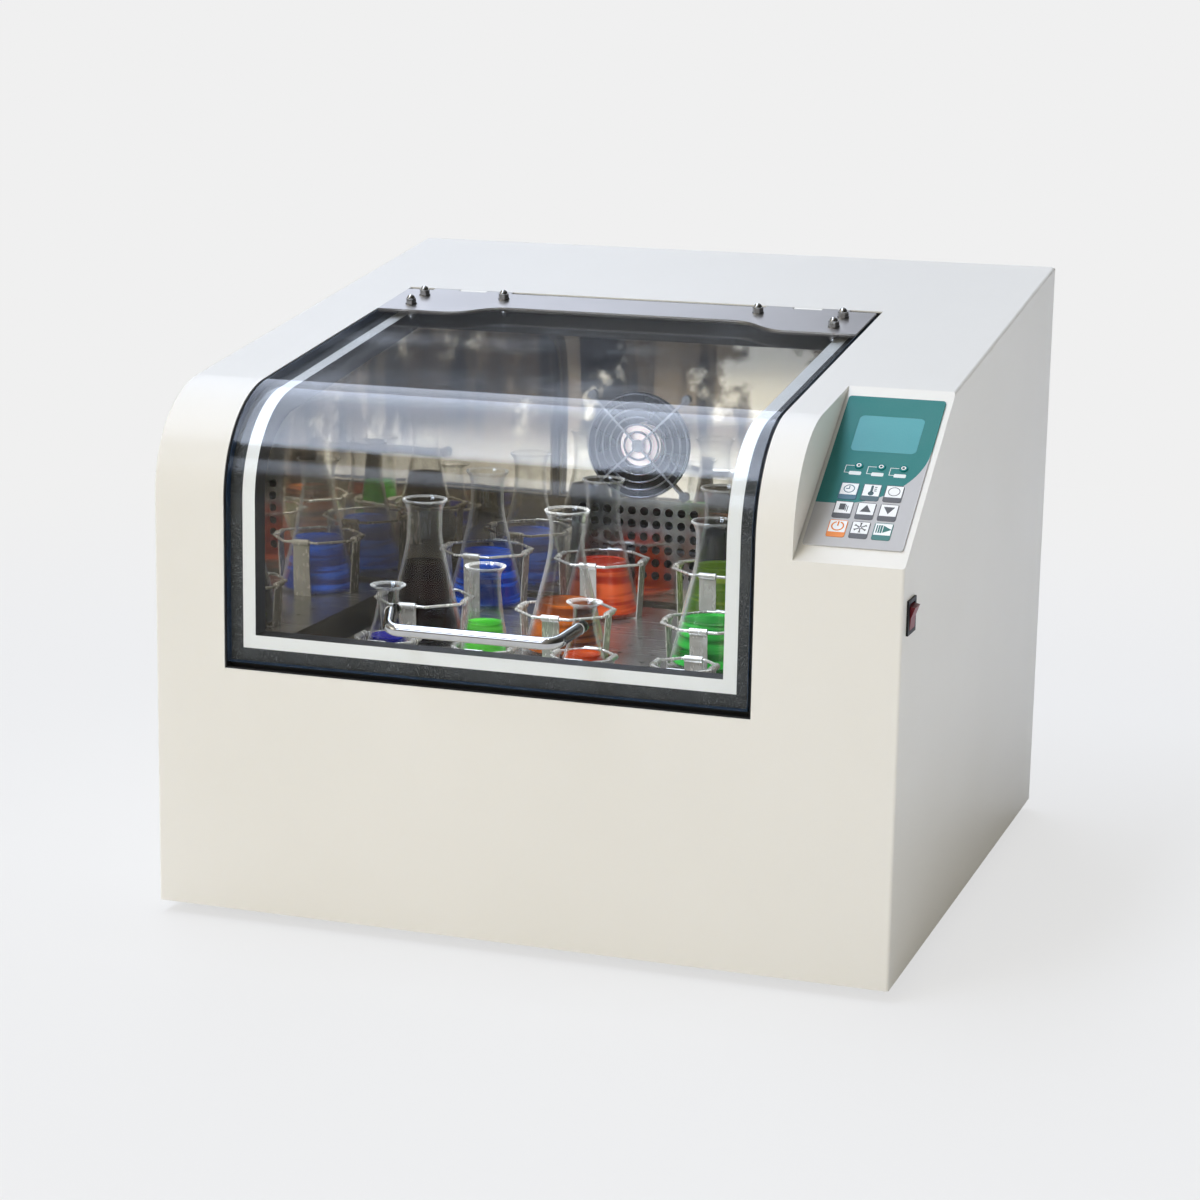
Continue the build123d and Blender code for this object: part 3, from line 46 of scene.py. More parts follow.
# shader maths: a wire is one output of a node
class Wire:
    def __init__(self, tree, output=None):
        self.tree = tree
        self.output = output

    def node(self, kind, settings=None, inputs=None, out=0):
        made = self.tree.nodes.new(kind)
        for name, value in (settings or {}).items():
            setattr(made, name, value)
        for name, value in (inputs or {}).items():
            if isinstance(value, Wire):
                self.tree.links.new(value.output, made.inputs[name])
            else:
                made.inputs[name].default_value = value
        return Wire(self.tree, made.outputs[out] if made.outputs else None)

    def math(self, operation, first, second=0.0):
        return self.node("ShaderNodeMath", {"operation": operation}, {0: first, 1: second})

    def __add__(self, other):
        return self.math("ADD", self, other)

    __radd__ = __add__

    def __sub__(self, other):
        return self.math("SUBTRACT", self, other)

    def __rsub__(self, other):
        return self.math("SUBTRACT", other, self)

    def __mul__(self, other):
        return self.math("MULTIPLY", self, other)

    __rmul__ = __mul__

    def __pow__(self, other):
        return self.math("POWER", self, other)

    def __gt__(self, other):
        return self.math("GREATER_THAN", self, other)

    def __lt__(self, other):
        return self.math("LESS_THAN", self, other)

    def __abs__(self):
        return self.math("ABSOLUTE", self)

    def over(self, low, high):
        # 0 below low, 1 above high, soft between
        return self.node("ShaderNodeMapRange", {"interpolation_type": "SMOOTHSTEP"},
                         {0: self, 1: low, 2: high})

    def within(self, outerLow, low, high, outerHigh):
        # 1 between low and high, soft out to the outer two
        return self.over(outerLow, low) * (1 - self.over(high, outerHigh))

    def larger(self, other):
        return self.math("MAXIMUM", self, other)

    def smaller(self, other):
        return self.math("MINIMUM", self, other)

    def noise(self, scale, detail=2.0, roughness=0.5):
        return self.node("ShaderNodeTexNoise", None,
                         {"Vector": self, "Scale": scale, "Detail": detail, "Roughness": roughness})

    def stretched(self, x, y, z):
        return self.node("ShaderNodeMapping", None, {"Vector": self, "Scale": (x, y, z)})

    def axis(self, name):
        return self.node("ShaderNodeSeparateXYZ", None, {0: self}, name)

    def axes(self):
        return [self.axis(name) for name in "XYZ"]

    def blend(self, first, second):
        # colours, by this wire as the factor
        return self.node("ShaderNodeMix", {"data_type": "RGBA"}, {0: self, 6: first, 7: second}, 2)

    def mirrorShare(self, ior):
        # share of light that a clear surface mirrors, alike from both of its sides
        facing = self.node("ShaderNodeLayerWeight", None, {"Blend": 0.5}, "Facing")
        straight = ((ior - 1) / (ior + 1)) ** 2
        return straight + (facing ** 5) * (1 - straight)

    def bump(self, strength, distance):
        return self.node("ShaderNodeBump", None,
                         {"Strength": strength, "Distance": distance, "Height": self})


def colour(red, green, blue):
    # from a swatch in 0 to 255 to the linear values that shaders take
    def linear(value):
        share = value / 255
        return share / 12.92 if share <= 0.04045 else ((share + 0.055) / 1.055) ** 2.4
    return linear(red), linear(green), linear(blue), 1.0


def startMaterial(name):
    material = bpy.data.materials.new(name)
    material.use_nodes = True
    material.node_tree.nodes.clear()
    return material, Wire(material.node_tree)


def here(start):
    return start.node("ShaderNodeTexCoord", out="Object")


def apart(across, up):
    # distance from the point where both are nought
    return (across * across + up * up) ** 0.5


def principled(start, inputs):
    return start.node("ShaderNodeBsdfPrincipled", None, inputs)


def mixShaders(start, share, first, second):
    return start.node("ShaderNodeMixShader", None, {0: share, 1: first, 2: second})


def close(start, shader):
    start.node("ShaderNodeOutputMaterial", None, {"Surface": shader})


def dress(material, *nodes):
    for node in nodes:
        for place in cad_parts[node].material_slots:
            place.material = material


# finishes shared by many pieces
def paintedSheet(name, look):
    material, start = startMaterial(name)
    at = here(start)
    cloud = at.noise(look["cloudScale"], 3.0)
    peel = at.noise(look["peelScale"])
    grit = at.noise(look["gritScale"], 1.0)
    rough = look["rough"] + cloud * look["cloudRough"] + grit * look["gritRough"]
    normal = (peel + grit * look["gritBump"]).bump(look["bump"], look["depth"])
    close(start, principled(start, {
        "Base Color": cloud.blend(look["colour"], look["tone"]), "Roughness": rough, "Normal": normal,
        "Specular IOR Level": look["gloss"], "Coat Weight": look["coat"],
        "Coat Roughness": look["coatRough"]}))
    return material


brushing = {"detail": 3.0, "fineness": 0.6, "streakShare": 0.5, "cloudRough": 0.06, "depth": 0.0001}


def metal(name, look):
    # brushed, drawn or turned metal: fine streaks along one direction over slow clouds
    material, start = startMaterial(name)
    at = here(start)
    streak = at.stretched(*look["stretch"]).noise(1.0, brushing["detail"], brushing["fineness"])
    cloud = at.noise(look["cloudScale"], brushing["detail"])
    mixed = streak * brushing["streakShare"] + cloud * (1 - brushing["streakShare"])
    rough = look["rough"] + streak * look["roughSpread"] + cloud * brushing["cloudRough"]
    normal = (streak + cloud * look["wave"]).bump(look["bump"], brushing["depth"])
    close(start, principled(start, {
        "Base Color": mixed.blend(look["dark"], look["colour"]), "Roughness": rough,
        "Metallic": look.get("metallic", 1.0), "Normal": normal}))
    return material


moulding = {"detail": 3.0, "grainShare": 0.5, "roughSpread": 0.12, "gloss": 0.5, "depth": 0.0001}


def moulded(name, look):
    # plastic, rubber or foam: an even tone with a fine moulded grain
    material, start = startMaterial(name)
    at = here(start)
    grain = at.noise(look["grainScale"], moulding["detail"])
    cloud = at.noise(look["cloudScale"])
    mixed = grain * moulding["grainShare"] + cloud * (1 - moulding["grainShare"])
    close(start, principled(start, {
        "Base Color": mixed.blend(look["dark"], look["colour"]),
        "Roughness": look["rough"] + grain * moulding["roughSpread"],
        "Specular IOR Level": look.get("gloss", moulding["gloss"]),
        "Normal": grain.bump(look["bump"], look.get("depth", moulding["depth"]))}))
    return material


# camera, light and floor
camera = {"place": (0.91208, -2.80218, 0.90305), "turn": (78.109, -1.001, 18.765), "lens": 86.89}
bpy.ops.object.select_all(action="DESELECT")
bpy.ops.object.camera_add(location=camera["place"], rotation=[radians(turn) for turn in camera["turn"]])
bpy.context.object.data.lens = camera["lens"]
bpy.context.scene.camera = bpy.context.object

studio = {
    "pale": colour(240, 240, 240),  # what the camera sees behind the object
    # a long softbox, in degrees above the far horizon, and a strip behind it, with soft edges
    "softbox": (25.6, 26.8, 126.0, 128.5), "softboxSides": (-0.50, -0.45, -0.26, -0.23),
    "softboxLow": 1.7, "softboxHigh": 10.0, "softboxCurve": 1.1,  # brightness from far to near
    "strip": (143.0, 146.0, 154.0, 162.0), "stripBright": 3.0,
    # a dark board behind, and a tall light at the left
    "flag": (8.0, 13.0, 26.0, 28.0), "flagSides": (-0.58, -0.50, -0.22, -0.14), "flagDark": 0.95,
    "tall": (-0.86, -0.80, -0.66, -0.60), "tallHeights": (0.08, 0.14, 0.52, 0.60), "tallBright": 1.4,
    # brightness of the rest of the room, and where one part turns into the next
    "front": 0.27, "behind": 0.46, "aheadFrom": (-0.25, 0.25), "right": 0.12, "rightFrom": (-0.1, 0.6),
    "sky": (0.85, 0.93, 1.11, 1.0), "room": (1.07, 1.0, 0.87, 1.0), "back": (0.95, 0.99, 1.04, 1.0),
    "skyFrom": (0.0, 0.5),
}


def makeWorld(look):
    world = bpy.data.worlds.new("studioWorld")
    world.use_nodes = True
    world.node_tree.nodes.clear()
    start = Wire(world.node_tree)
    x, y, z = start.node("ShaderNodeTexCoord", out="Generated").axes()
    angle = start.math("ARCTAN2", z, y) * (180 / pi)
    across = x.within(*look["softboxSides"])
    far, near = look["softbox"][0], look["softbox"][-1]
    rise = ((angle - far) * (1 / (near - far))) ** look["softboxCurve"]
    box = angle.within(*look["softbox"]) * across
    box = box * (look["softboxLow"] + rise * (look["softboxHigh"] - look["softboxLow"]))
    strip = angle.within(*look["strip"]) * across * look["stripBright"]
    tall = x.within(*look["tall"]) * z.within(*look["tallHeights"])
    ahead = (0 - y).over(*look["aheadFrom"])
    room = look["behind"] + ahead * (look["front"] - look["behind"])
    room = room * (1 - x.over(*look["rightFrom"]) * (1 - look["right"]))
    flag = angle.within(*look["flag"]) * x.within(*look["flagSides"])
    bright = room * (1 - flag * look["flagDark"]) + box + strip + tall * ahead * look["tallBright"]
    tint = (box + strip).over(*look["skyFrom"]).blend(ahead.blend(look["back"], look["room"]), look["sky"])
    lit = start.node("ShaderNodeBackground", None, {"Color": tint, "Strength": bright})
    pale = start.node("ShaderNodeBackground", None, {"Color": look["pale"], "Strength": 1.0})
    seen = start.node("ShaderNodeLightPath", out="Is Camera Ray")
    shader = mixShaders(start, seen, lit, pale)
    start.node("ShaderNodeOutputWorld", None, {"Surface": shader})
    bpy.context.scene.world = world


makeWorld(studio)
bpy.context.scene.view_settings.view_transform = "Standard"

lamps = {
    # place, turn, size, power, colour
    "keyLight": ((-1.0, -3.4, 1.3), (74.0, 0.0, -17.0), 1.8, 33.0, (1.0, 0.87, 0.58)),
    "topLight": ((0.0, 0.3, 2.7), (0.0, 0.0, 0.0), 1.4, 5.0, (0.92, 0.96, 1.0)),
    "sideFill": ((2.7, -0.6, 0.42), (90.0, 0.0, 78.0), 0.8, 14.0, (1.0, 0.95, 0.84)),
    "backFill": ((-0.6, 2.4, 0.9), (78.0, 0.0, 194.0), 1.4, 7.0, (0.97, 0.98, 1.0)),
    "chamberLight": ((-0.035, -0.235, 0.485), (58.0, 0.0, 0.0), 0.12, 0.9, (1.0, 0.98, 0.94)),
}
for name, (place, turns, size, power, tone) in lamps.items():
    bpy.ops.object.light_add(type="AREA", location=place, rotation=[radians(turn) for turn in turns])
    lamp = bpy.context.object
    lamp.name = name
    lamp.data.shape = "SQUARE"
    lamp.data.size = size
    lamp.data.energy = power
    lamp.data.color = tone
    lamp.visible_camera = False
    lamp.visible_glossy = False

# a narrow spot that shines through the lid and lights what stands inside
lidSpot = {"place": (-0.035, -0.66, 2.15), "turn": (17.0, 0.0, 0.0), "cone": 15.5, "soft": 0.45,
           "radius": 0.04, "power": 52.0}
bpy.ops.object.light_add(type="SPOT", location=lidSpot["place"],
                         rotation=[radians(turn) for turn in lidSpot["turn"]])
lamp = bpy.context.object
lamp.name = "lidSpot"
lamp.data.spot_size = radians(lidSpot["cone"])
lamp.data.spot_blend = lidSpot["soft"]
lamp.data.shadow_soft_size = lidSpot["radius"]
lamp.data.energy = lidSpot["power"]
lamp.visible_camera = False

floorLook = {"size": 60.0, "tone": (0.80, 0.80, 0.80, 1.0), "rough": 0.9, "near": 0.9, "far": 2.6,
             "shadow": 0.22}  # share of the lit floor that the camera sees near the object


def makeFloor(look):
    bpy.ops.object.select_all(action="DESELECT")
    bpy.ops.mesh.primitive_plane_add(size=look["size"])
    floor = bpy.context.object
    floor.name = "floor"
    material, start = startMaterial("paleFloor")
    at = here(start)
    away = apart(at.axis("X"), at.axis("Y")).over(look["near"], look["far"])
    seen = start.node("ShaderNodeLightPath", out="Is Camera Ray")
    matt = principled(start, {"Base Color": look["tone"], "Roughness": look["rough"]})
    plain = start.node("ShaderNodeEmission", None, {"Color": studio["pale"], "Strength": 1.0})
    share = seen * (1 - (1 - away) * look["shadow"])
    close(start, mixShaders(start, share, matt, plain))
    floor.data.materials.append(material)


makeFloor(floorLook)
print("studio ready")

# cabinet
cabinetLook = {
    "paint": {"colour": colour(236, 234, 228), "tone": colour(231, 229, 222), "cloudScale": 5.0,
              "peelScale": 700.0, "gritScale": 2100.0, "gritBump": 0.3, "bump": 0.25, "depth": 0.00006,
              "rough": 0.32, "cloudRough": 0.10, "gritRough": 0.05, "gloss": 0.35, "coat": 0.10,
              "coatRough": 0.12},
    # the seat frame is painted near-black: painted shade for the gap round the lid
    "gap": {"colour": colour(34, 35, 36), "dark": colour(18, 18, 19), "grainScale": 900.0,
            "cloudScale": 20.0, "rough": 0.6, "bump": 0.2},
    "zinc": {"colour": colour(186, 188, 187), "dark": colour(150, 152, 153), "stretch": (90, 90, 90),
             "cloudScale": 60.0, "rough": 0.34, "roughSpread": 0.2, "wave": 1.0, "bump": 0.15},
    "rubber": {"colour": colour(44, 44, 45), "dark": colour(26, 26, 27), "grainScale": 1500.0,
               "cloudScale": 60.0, "rough": 0.7, "bump": 0.4},
}
paint = paintedSheet("cabinetPaint", cabinetLook["paint"])
rubber = moulded("footRubber", cabinetLook["rubber"])
zinc = metal("zincSheet", cabinetLook["zinc"])
dress(paint, "outer_casing", "rear_cover")
dress(moulded("seatShadowPaint", cabinetLook["gap"]), "lid_seat_frame")
dress(zinc, "base_pan", "drive_deck", "plenum_box")
dress(rubber, "feet", "drive_belt")

# lid, seal and gasket
lidLook = {
    "middle": -35.302, "half": 261.0, "bottom": 262.0, "edge": 0.4,  # where its cut edges are, in mm
    "ior": 1.33, "haze": 0.006, "hazeFrom": (0.5, 0.8),
    "calm": 0.4, "calmBelow": (436.0, 458.0),  # share of the gloss that the flat front keeps
    "edgeColour": colour(30, 56, 82), "edgeShare": 0.82, "edgeRough": 0.25,
    "shine": (0.96, 0.98, 1.0, 1.0), "tint": (0.975, 0.985, 0.99, 1.0), "rough": 0.08,
    "smear": (1.0, 1.0, 3.0), "smearScale": 9.0, "smearFrom": (0.45, 0.8), "smearRough": 0.06,
    "scratch": (40.0, 300.0, 300.0), "scratchBump": 0.05, "bump": 0.05, "depth": 0.0006,
}


def lidAcrylic(look):
    material, start = startMaterial("lidAcrylic")
    at = here(start)
    height = at.axis("Z")
    side = abs(at.axis("X") - look["middle"] * mm) > (look["half"] - look["edge"]) * mm
    edge = side.larger(height < (look["bottom"] + look["edge"]) * mm)
    smear = at.stretched(*look["smear"]).noise(look["smearScale"], 4.0, 0.6)
    scratch = at.stretched(*look["scratch"]).noise(1.0)
    rough = look["rough"] + smear.over(*look["smearFrom"]) * look["smearRough"] + edge * look["edgeRough"]
    shine = principled(start, {
        "Base Color": edge.blend(look["shine"], look["edgeColour"]), "Metallic": 1 - edge,
        "Roughness": rough,
        "Normal": (smear + scratch * look["scratchBump"]).bump(look["bump"], look["depth"])})
    clear = start.node("ShaderNodeBsdfTransparent", None, {0: look["tint"]})
    flat, bent = [place * mm for place in look["calmBelow"]]
    gloss = look["calm"] + height.over(flat, bent) * (1 - look["calm"])
    share = start.mirrorShare(look["ior"]) * gloss + smear.over(*look["hazeFrom"]) * look["haze"]
    close(start, mixShaders(start, share.larger(edge * look["edgeShare"]), clear, shine))
    return material


gasketLook = {"colour": colour(58, 60, 60), "dark": colour(37, 38, 39), "fleck": colour(120, 122, 122),
              "cellScale": 520.0, "speckScale": 900.0, "speckFrom": (0.52, 0.7), "speckShare": 0.8,
              "cloudScale": 30.0, "rough": 0.85, "speckGloss": 0.15, "bump": 0.6, "depth": 0.0004}


def foam(look):
    material, start = startMaterial("gasketFoam")
    at = here(start)
    cells = start.node("ShaderNodeTexVoronoi", {"feature": "F1"}, {"Vector": at, "Scale": look["cellScale"]})
    speck = at.noise(look["speckScale"]).over(*look["speckFrom"])
    base = at.noise(look["cloudScale"]).blend(look["dark"], look["colour"])
    close(start, principled(start, {
        "Base Color": (speck * look["speckShare"]).blend(base, look["fleck"]),
        "Roughness": look["rough"] - speck * look["speckGloss"],
        "Normal": cells.bump(look["bump"], look["depth"])}))
    return material


# the last colour is painted shade, for the faces that turn into the opening
sealLook = {"colour": colour(250, 250, 248), "dark": colour(240, 241, 240), "paintedShadeColour": colour(52, 52, 54),
            "sill": 300.0, "turned": 0.5,  # the sill is below this height, a face has turned past this much
            "grainScale": 1200.0, "rough": 0.38, "roughSpread": 0.12, "bump": 0.08, "depth": 0.0001}


def sealRubber(look):
    # white rubber, with painted shade where the strip turns into the opening, on its sill and at its rear
    material, start = startMaterial("sealStrip")
    at = here(start)
    turnX, turnY, turnZ = start.node("ShaderNodeTexCoord", out="Normal").axes()
    grain = at.noise(look["grainScale"], 3.0)
    sill = (at.axis("Z") < look["sill"] * mm) * (turnZ > look["turned"])
    rear = (at.axis("Y") > 0.0) * (turnY < -look["turned"])
    # sideways faces, the sill's upward faces and the rear strip's front faces get painted shade in place of
    # the white face
    paintedShade = (abs(turnX) > look["turned"]).larger(sill + rear)
    close(start, principled(start, {
        "Base Color": paintedShade.blend(grain.blend(look["dark"], look["colour"]), look["paintedShadeColour"]),
        "Roughness": look["rough"] + grain * look["roughSpread"],
        "Normal": grain.bump(look["bump"], look["depth"])}))
    return material


dress(lidAcrylic(lidLook), "lid_panel")
dress(foam(gasketLook), "seat_gasket")
dress(sealRubber(sealLook), "seal_strip")

# bright and dark metals
metals = {
    "chrome": {"colour": colour(208, 208, 206), "dark": colour(180, 180, 179), "stretch": (260, 260, 260),
               "cloudScale": 40.0, "rough": 0.08, "roughSpread": 0.08, "wave": 0.5, "bump": 0.05},
    "hingePlate": {"colour": colour(202, 198, 194), "dark": colour(168, 165, 162), "stretch": (14, 900, 900),
                   "cloudScale": 8.0, "rough": 0.26, "roughSpread": 0.14, "wave": 0.3, "bump": 0.25},
    "platform": {"colour": colour(204, 202, 198), "dark": colour(112, 110, 107), "stretch": (10, 500, 500),
                 "cloudScale": 14.0, "rough": 0.15, "roughSpread": 0.14, "wave": 2.0, "bump": 0.25,
                 "metallic": 0.8},
    "clamp": {"colour": colour(236, 235, 232), "dark": colour(196, 195, 192), "stretch": (300, 300, 60),
              "cloudScale": 60.0, "rough": 0.16, "roughSpread": 0.14, "wave": 0.6, "bump": 0.12,
              "metallic": 0.6},
    "wire": {"colour": colour(172, 175, 182), "dark": colour(140, 143, 150), "stretch": (260, 260, 260),
             "cloudScale": 40.0, "rough": 0.16, "roughSpread": 0.10, "wave": 0.5, "bump": 0.05},
    "alloy": {"colour": colour(188, 190, 192), "dark": colour(150, 152, 155), "stretch": (350, 350, 350),
              "cloudScale": 30.0, "rough": 0.34, "roughSpread": 0.2, "wave": 0.5, "bump": 0.3},
    "ground": {"colour": colour(150, 151, 153), "dark": colour(108, 109, 112), "stretch": (60, 60, 1200),
               "cloudScale": 40.0, "rough": 0.24, "roughSpread": 0.16, "wave": 0.3, "bump": 0.2},
    "castIron": {"colour": colour(118, 119, 121), "dark": colour(84, 85, 88), "stretch": (500, 500, 500),
                 "cloudScale": 50.0, "rough": 0.5, "roughSpread": 0.15, "wave": 1.0, "bump": 0.5,
                 "metallic": 0.3},
}
mirrorLook = {
    "dark": colour(30, 27, 24), "middle": colour(128, 114, 96), "light": colour(242, 234, 218),
    "drips": (26.0, 26.0, 3.0), "dripsFrom": (0.42, 0.56), "cloudScale": 13.0, "lightFrom": (0.50, 0.62),
    "polished": (0.405, 0.450),  # tarnish starts between these heights, in metres
    "cleanShare": 0.55, "cleanCloud": 0.4, "rough": 0.012, "cloudRough": 0.06, "cleanGloss": 0.04,
    "metallic": 0.92, "wave": (9.0, 9.0, 4.0), "waveBump": 2, "dripBump": 0.1, "bump": 0.4, "depth": 0.0006,
}


def mirrorSteel(look):
    # polished tub: upright drips and clouds of tarnish over a slightly wavy mirror
    material, start = startMaterial("mirrorSteel")
    at = here(start)
    drips = at.stretched(*look["drips"]).noise(1.0, 4.0, 0.62)
    cloud = at.noise(look["cloudScale"], 4.0, 0.6)
    wave = at.stretched(*look["wave"]).noise(1.0)
    tarnish = drips.over(*look["dripsFrom"]).blend(look["dark"], look["middle"])
    tarnish = cloud.over(*look["lightFrom"]).blend(tarnish, look["light"])
    clean = 1 - at.axis("Z").over(*look["polished"])
    wiped = clean * (look["cleanShare"] + cloud * look["cleanCloud"])
    close(start, principled(start, {
        "Base Color": wiped.blend(tarnish, look["light"]), "Metallic": look["metallic"],
        "Roughness": look["rough"] + cloud * (look["cloudRough"] - clean * look["cleanGloss"]),
        "Normal": (wave * look["waveBump"] + drips * look["dripBump"]).bump(look["bump"], look["depth"])}))
    return material


made = {name: metal(name + "Metal", look) for name, look in metals.items()}
dress(mirrorSteel(mirrorLook), "chamber_liner")
dress(made["chrome"], "acorn_nuts", "lid_handle", "return_grille")
dress(made["wire"], "fan_guard")
dress(made["hingePlate"], "hinge_plate")
dress(paint, "hinge_body_leaves")
dress(made["platform"], "platform_plate")
dress(made["clamp"], "clamps_large", "clamps_small")
dress(made["alloy"], "evaporator_coil", "condenser", "main_bearing_housing", "driven_pulley",
      "idler_bases", "platform_bearings")
dress(made["ground"], "rear_cover_screws", "heater_element", "hinge_pins", "lid_bolts", "main_shaft",
      "motor_pulley", "idler_crank_1", "idler_crank_2", "idler_crank_3")
dress(made["castIron"], "counterweight")

plastics = {
    "black": {"colour": colour(30, 29, 30), "dark": colour(20, 19, 20), "grainScale": 1400.0,
              "cloudScale": 40.0, "rough": 0.40, "bump": 0.25, "gloss": 0.25},
    "rocker": {"colour": colour(138, 22, 34), "dark": colour(94, 10, 20), "grainScale": 900.0,
               "cloudScale": 80.0, "rough": 0.30, "bump": 0.08, "gloss": 0.3},
    "insulation": {"colour": colour(226, 216, 186), "dark": colour(198, 186, 152), "grainScale": 420.0,
                   "cloudScale": 30.0, "rough": 0.85, "bump": 0.7, "depth": 0.0006},
    "board": {"colour": colour(30, 112, 66), "dark": colour(18, 76, 46), "grainScale": 300.0,
              "cloudScale": 120.0, "rough": 0.32, "bump": 0.2},
    "motor": {"colour": colour(52, 54, 58), "dark": colour(34, 35, 38), "grainScale": 600.0,
              "cloudScale": 25.0, "rough": 0.30, "bump": 0.2},
}
fanLook = {"hub": 0.0232,  # radius of the pale disc, in metres
           "disc": colour(250, 240, 242), "ring": colour(208, 120, 136), "wheel": colour(46, 47, 50),
           "rings": 2300.0, "ringFrom": (0.6, 0.95), "wornFrom": (0.42, 0.6), "ringShare": 0.7,
           "grainScale": 90.0, "rough": 0.34, "roughSpread": 0.12, "fineScale": 700.0, "bump": 0.1,
           "depth": 0.0001}


def fanWheel(look):
    # dark wheel with a pale turned disc on its hub, ringed in faded red
    material, start = startMaterial("fanWheel")
    low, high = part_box("fan_impeller")
    at = here(start)
    radius = apart(at.axis("X") - (low[0] + high[0]) / 2, at.axis("Z") - (low[2] + high[2]) / 2)
    grain = at.noise(look["grainScale"], 3.0)
    rings = start.math("SINE", radius * look["rings"]).over(*look["ringFrom"])
    ringed = rings * grain.over(*look["wornFrom"])
    disc = (ringed * look["ringShare"]).blend(look["disc"], look["ring"])
    close(start, principled(start, {
        "Base Color": (radius < look["hub"]).blend(look["wheel"], disc),
        "Roughness": look["rough"] + grain * look["roughSpread"],
        "Normal": at.noise(look["fineScale"]).bump(look["bump"], look["depth"])}))
    return material


cast = {name: moulded(name + "Plastic", look) for name, look in plastics.items()}
dress(cast["black"], "power_inlet", "switch_bezel", "fan_housing")
dress(fanWheel(fanLook), "fan_impeller")
dress(cast["rocker"], "power_rocker")
dress(cast["insulation"], "chamber_insulation")
dress(cast["board"], "control_board")
dress(cast["motor"], "compressor", "drive_motor")
print("cabinet and metals dressed")

# control panel: u runs right from its left wall, v up its slope, h above it
panel = {"left": 263.698, "front": -330.25, "height": 405.5, "angle": 35.2,
         "teal": colour(8, 120, 118), "grey": colour(190, 190, 192), "faded": (0.9, 0.9, 0.9, 1.0),
         "arcRadius": 75.0, "arcAcross": 22.0, "arcUp": 150.0,
         "grainScale": 1800.0, "cloudScale": 18.0, "fadedShare": 0.05, "rough": 0.44, "roughSpread": 0.12,
         "gloss": 0.12, "bump": 0.12, "depth": 0.00005}
leanCos, leanSin = cos(radians(panel["angle"])), sin(radians(panel["angle"]))


def panelPlace(u, v, h):
    corner = Matrix.Translation([panel[name] * mm for name in ("left", "front", "height")])
    lean = Matrix.Rotation(radians(panel["angle"]), 4, "X")
    return corner @ lean @ Matrix.Translation((u * mm, v * mm, h * mm))


def panelAxes(start):
    # u and v of the shaded point, in millimetres
    x, y, z = here(start).axes()
    u = x * 1000 - panel["left"]
    v = (y * 1000 - panel["front"]) * leanCos + (z * 1000 - panel["height"]) * leanSin
    return u, v


def overlayFilm(look):
    material, start = startMaterial("overlayFilm")
    u, v = panelAxes(start)
    inCurve = apart(u - look["arcAcross"], v - look["arcUp"]) < look["arcRadius"]
    inCurve = inCurve * (u > look["arcAcross"])
    beside = (u < look["arcAcross"]) * (v > look["arcUp"] - look["arcRadius"])
    teal = inCurve.larger(beside).larger(v > look["arcUp"])
    at = here(start)
    grain = at.noise(look["grainScale"])
    worn = grain * look["fadedShare"] + at.noise(look["cloudScale"]) * look["fadedShare"]
    close(start, principled(start, {
        "Base Color": worn.blend(teal.blend(look["grey"], look["teal"]), look["faded"]),
        "Roughness": look["rough"] + grain * look["roughSpread"], "Specular IOR Level": look["gloss"],
        "Normal": grain.bump(look["bump"], look["depth"])}))
    return material


displayLook = {"colour": colour(90, 168, 174), "dark": colour(76, 152, 158), "places": (145.0, 193.0),
               "cloudScale": 25.0, "cloudShare": 0.4, "riseShare": 0.3, "dotScale": 2600.0, "dotShare": 0.1,
               "rough": 0.24, "dotRough": 0.05, "gloss": 0.25}


def displayGlass(look):
    material, start = startMaterial("displayGlass")
    up = panelAxes(start)[1]
    at = here(start)
    dots = at.noise(look["dotScale"], 1.0)
    mixed = at.noise(look["cloudScale"]) * look["cloudShare"] + up.over(*look["places"]) * look["riseShare"]
    mixed = mixed + dots * look["dotShare"]
    close(start, principled(start, {
        "Base Color": mixed.blend(look["dark"], look["colour"]),
        "Roughness": look["rough"] + dots * look["dotRough"], "Specular IOR Level": look["gloss"]}))
    return material


lampLook = {"columns": (33.9, 54.9, 75.9), "up": 125.0, "ring": (1.2, 1.5, 2.1, 2.4), "inside": (1.1, 1.4),
            "ringColour": colour(236, 240, 238), "insideColour": colour(46, 92, 90),
            "rough": 0.20, "roughSpread": 0.08, "grainScale": 900.0, "gloss": 0.3}


def lampLens(look):
    # clear lenses over printed rings
    material, start = startMaterial("lampLens")
    u, v = panelAxes(start)
    radius, *others = [apart(u - column, v - look["up"]) for column in look["columns"]]
    for other in others:
        radius = radius.smaller(other)
    inside = 1 - radius.over(*look["inside"])
    grain = here(start).noise(look["grainScale"])
    tone = radius.within(*look["ring"]).blend(inside.blend(panel["teal"], look["insideColour"]),
                                              look["ringColour"])
    close(start, principled(start, {
        "Base Color": tone, "Roughness": look["rough"] + grain * look["roughSpread"],
        "Specular IOR Level": look["gloss"]}))
    return material


keyLook = {"columns": (31.5, 52.5, 73.5), "rows": (43.0, 67.25, 91.5), "width": 17.0, "length": 21.5,
           "strip": -4.6, "border": 0.75, "top": 1.75, "print": 0.12, "iconUp": 2.9,
           "white": colour(243, 244, 243), "shade": colour(236, 238, 238), "grainScale": 1500.0,
           "rough": 0.30, "roughSpread": 0.1, "bump": 0.1, "depth": 0.00005}
inks = {"orange": colour(230, 130, 16), "grey": colour(70, 71, 72), "teal": colour(16, 108, 100),
        "blue": colour(36, 96, 118), "slate": colour(52, 84, 90)}


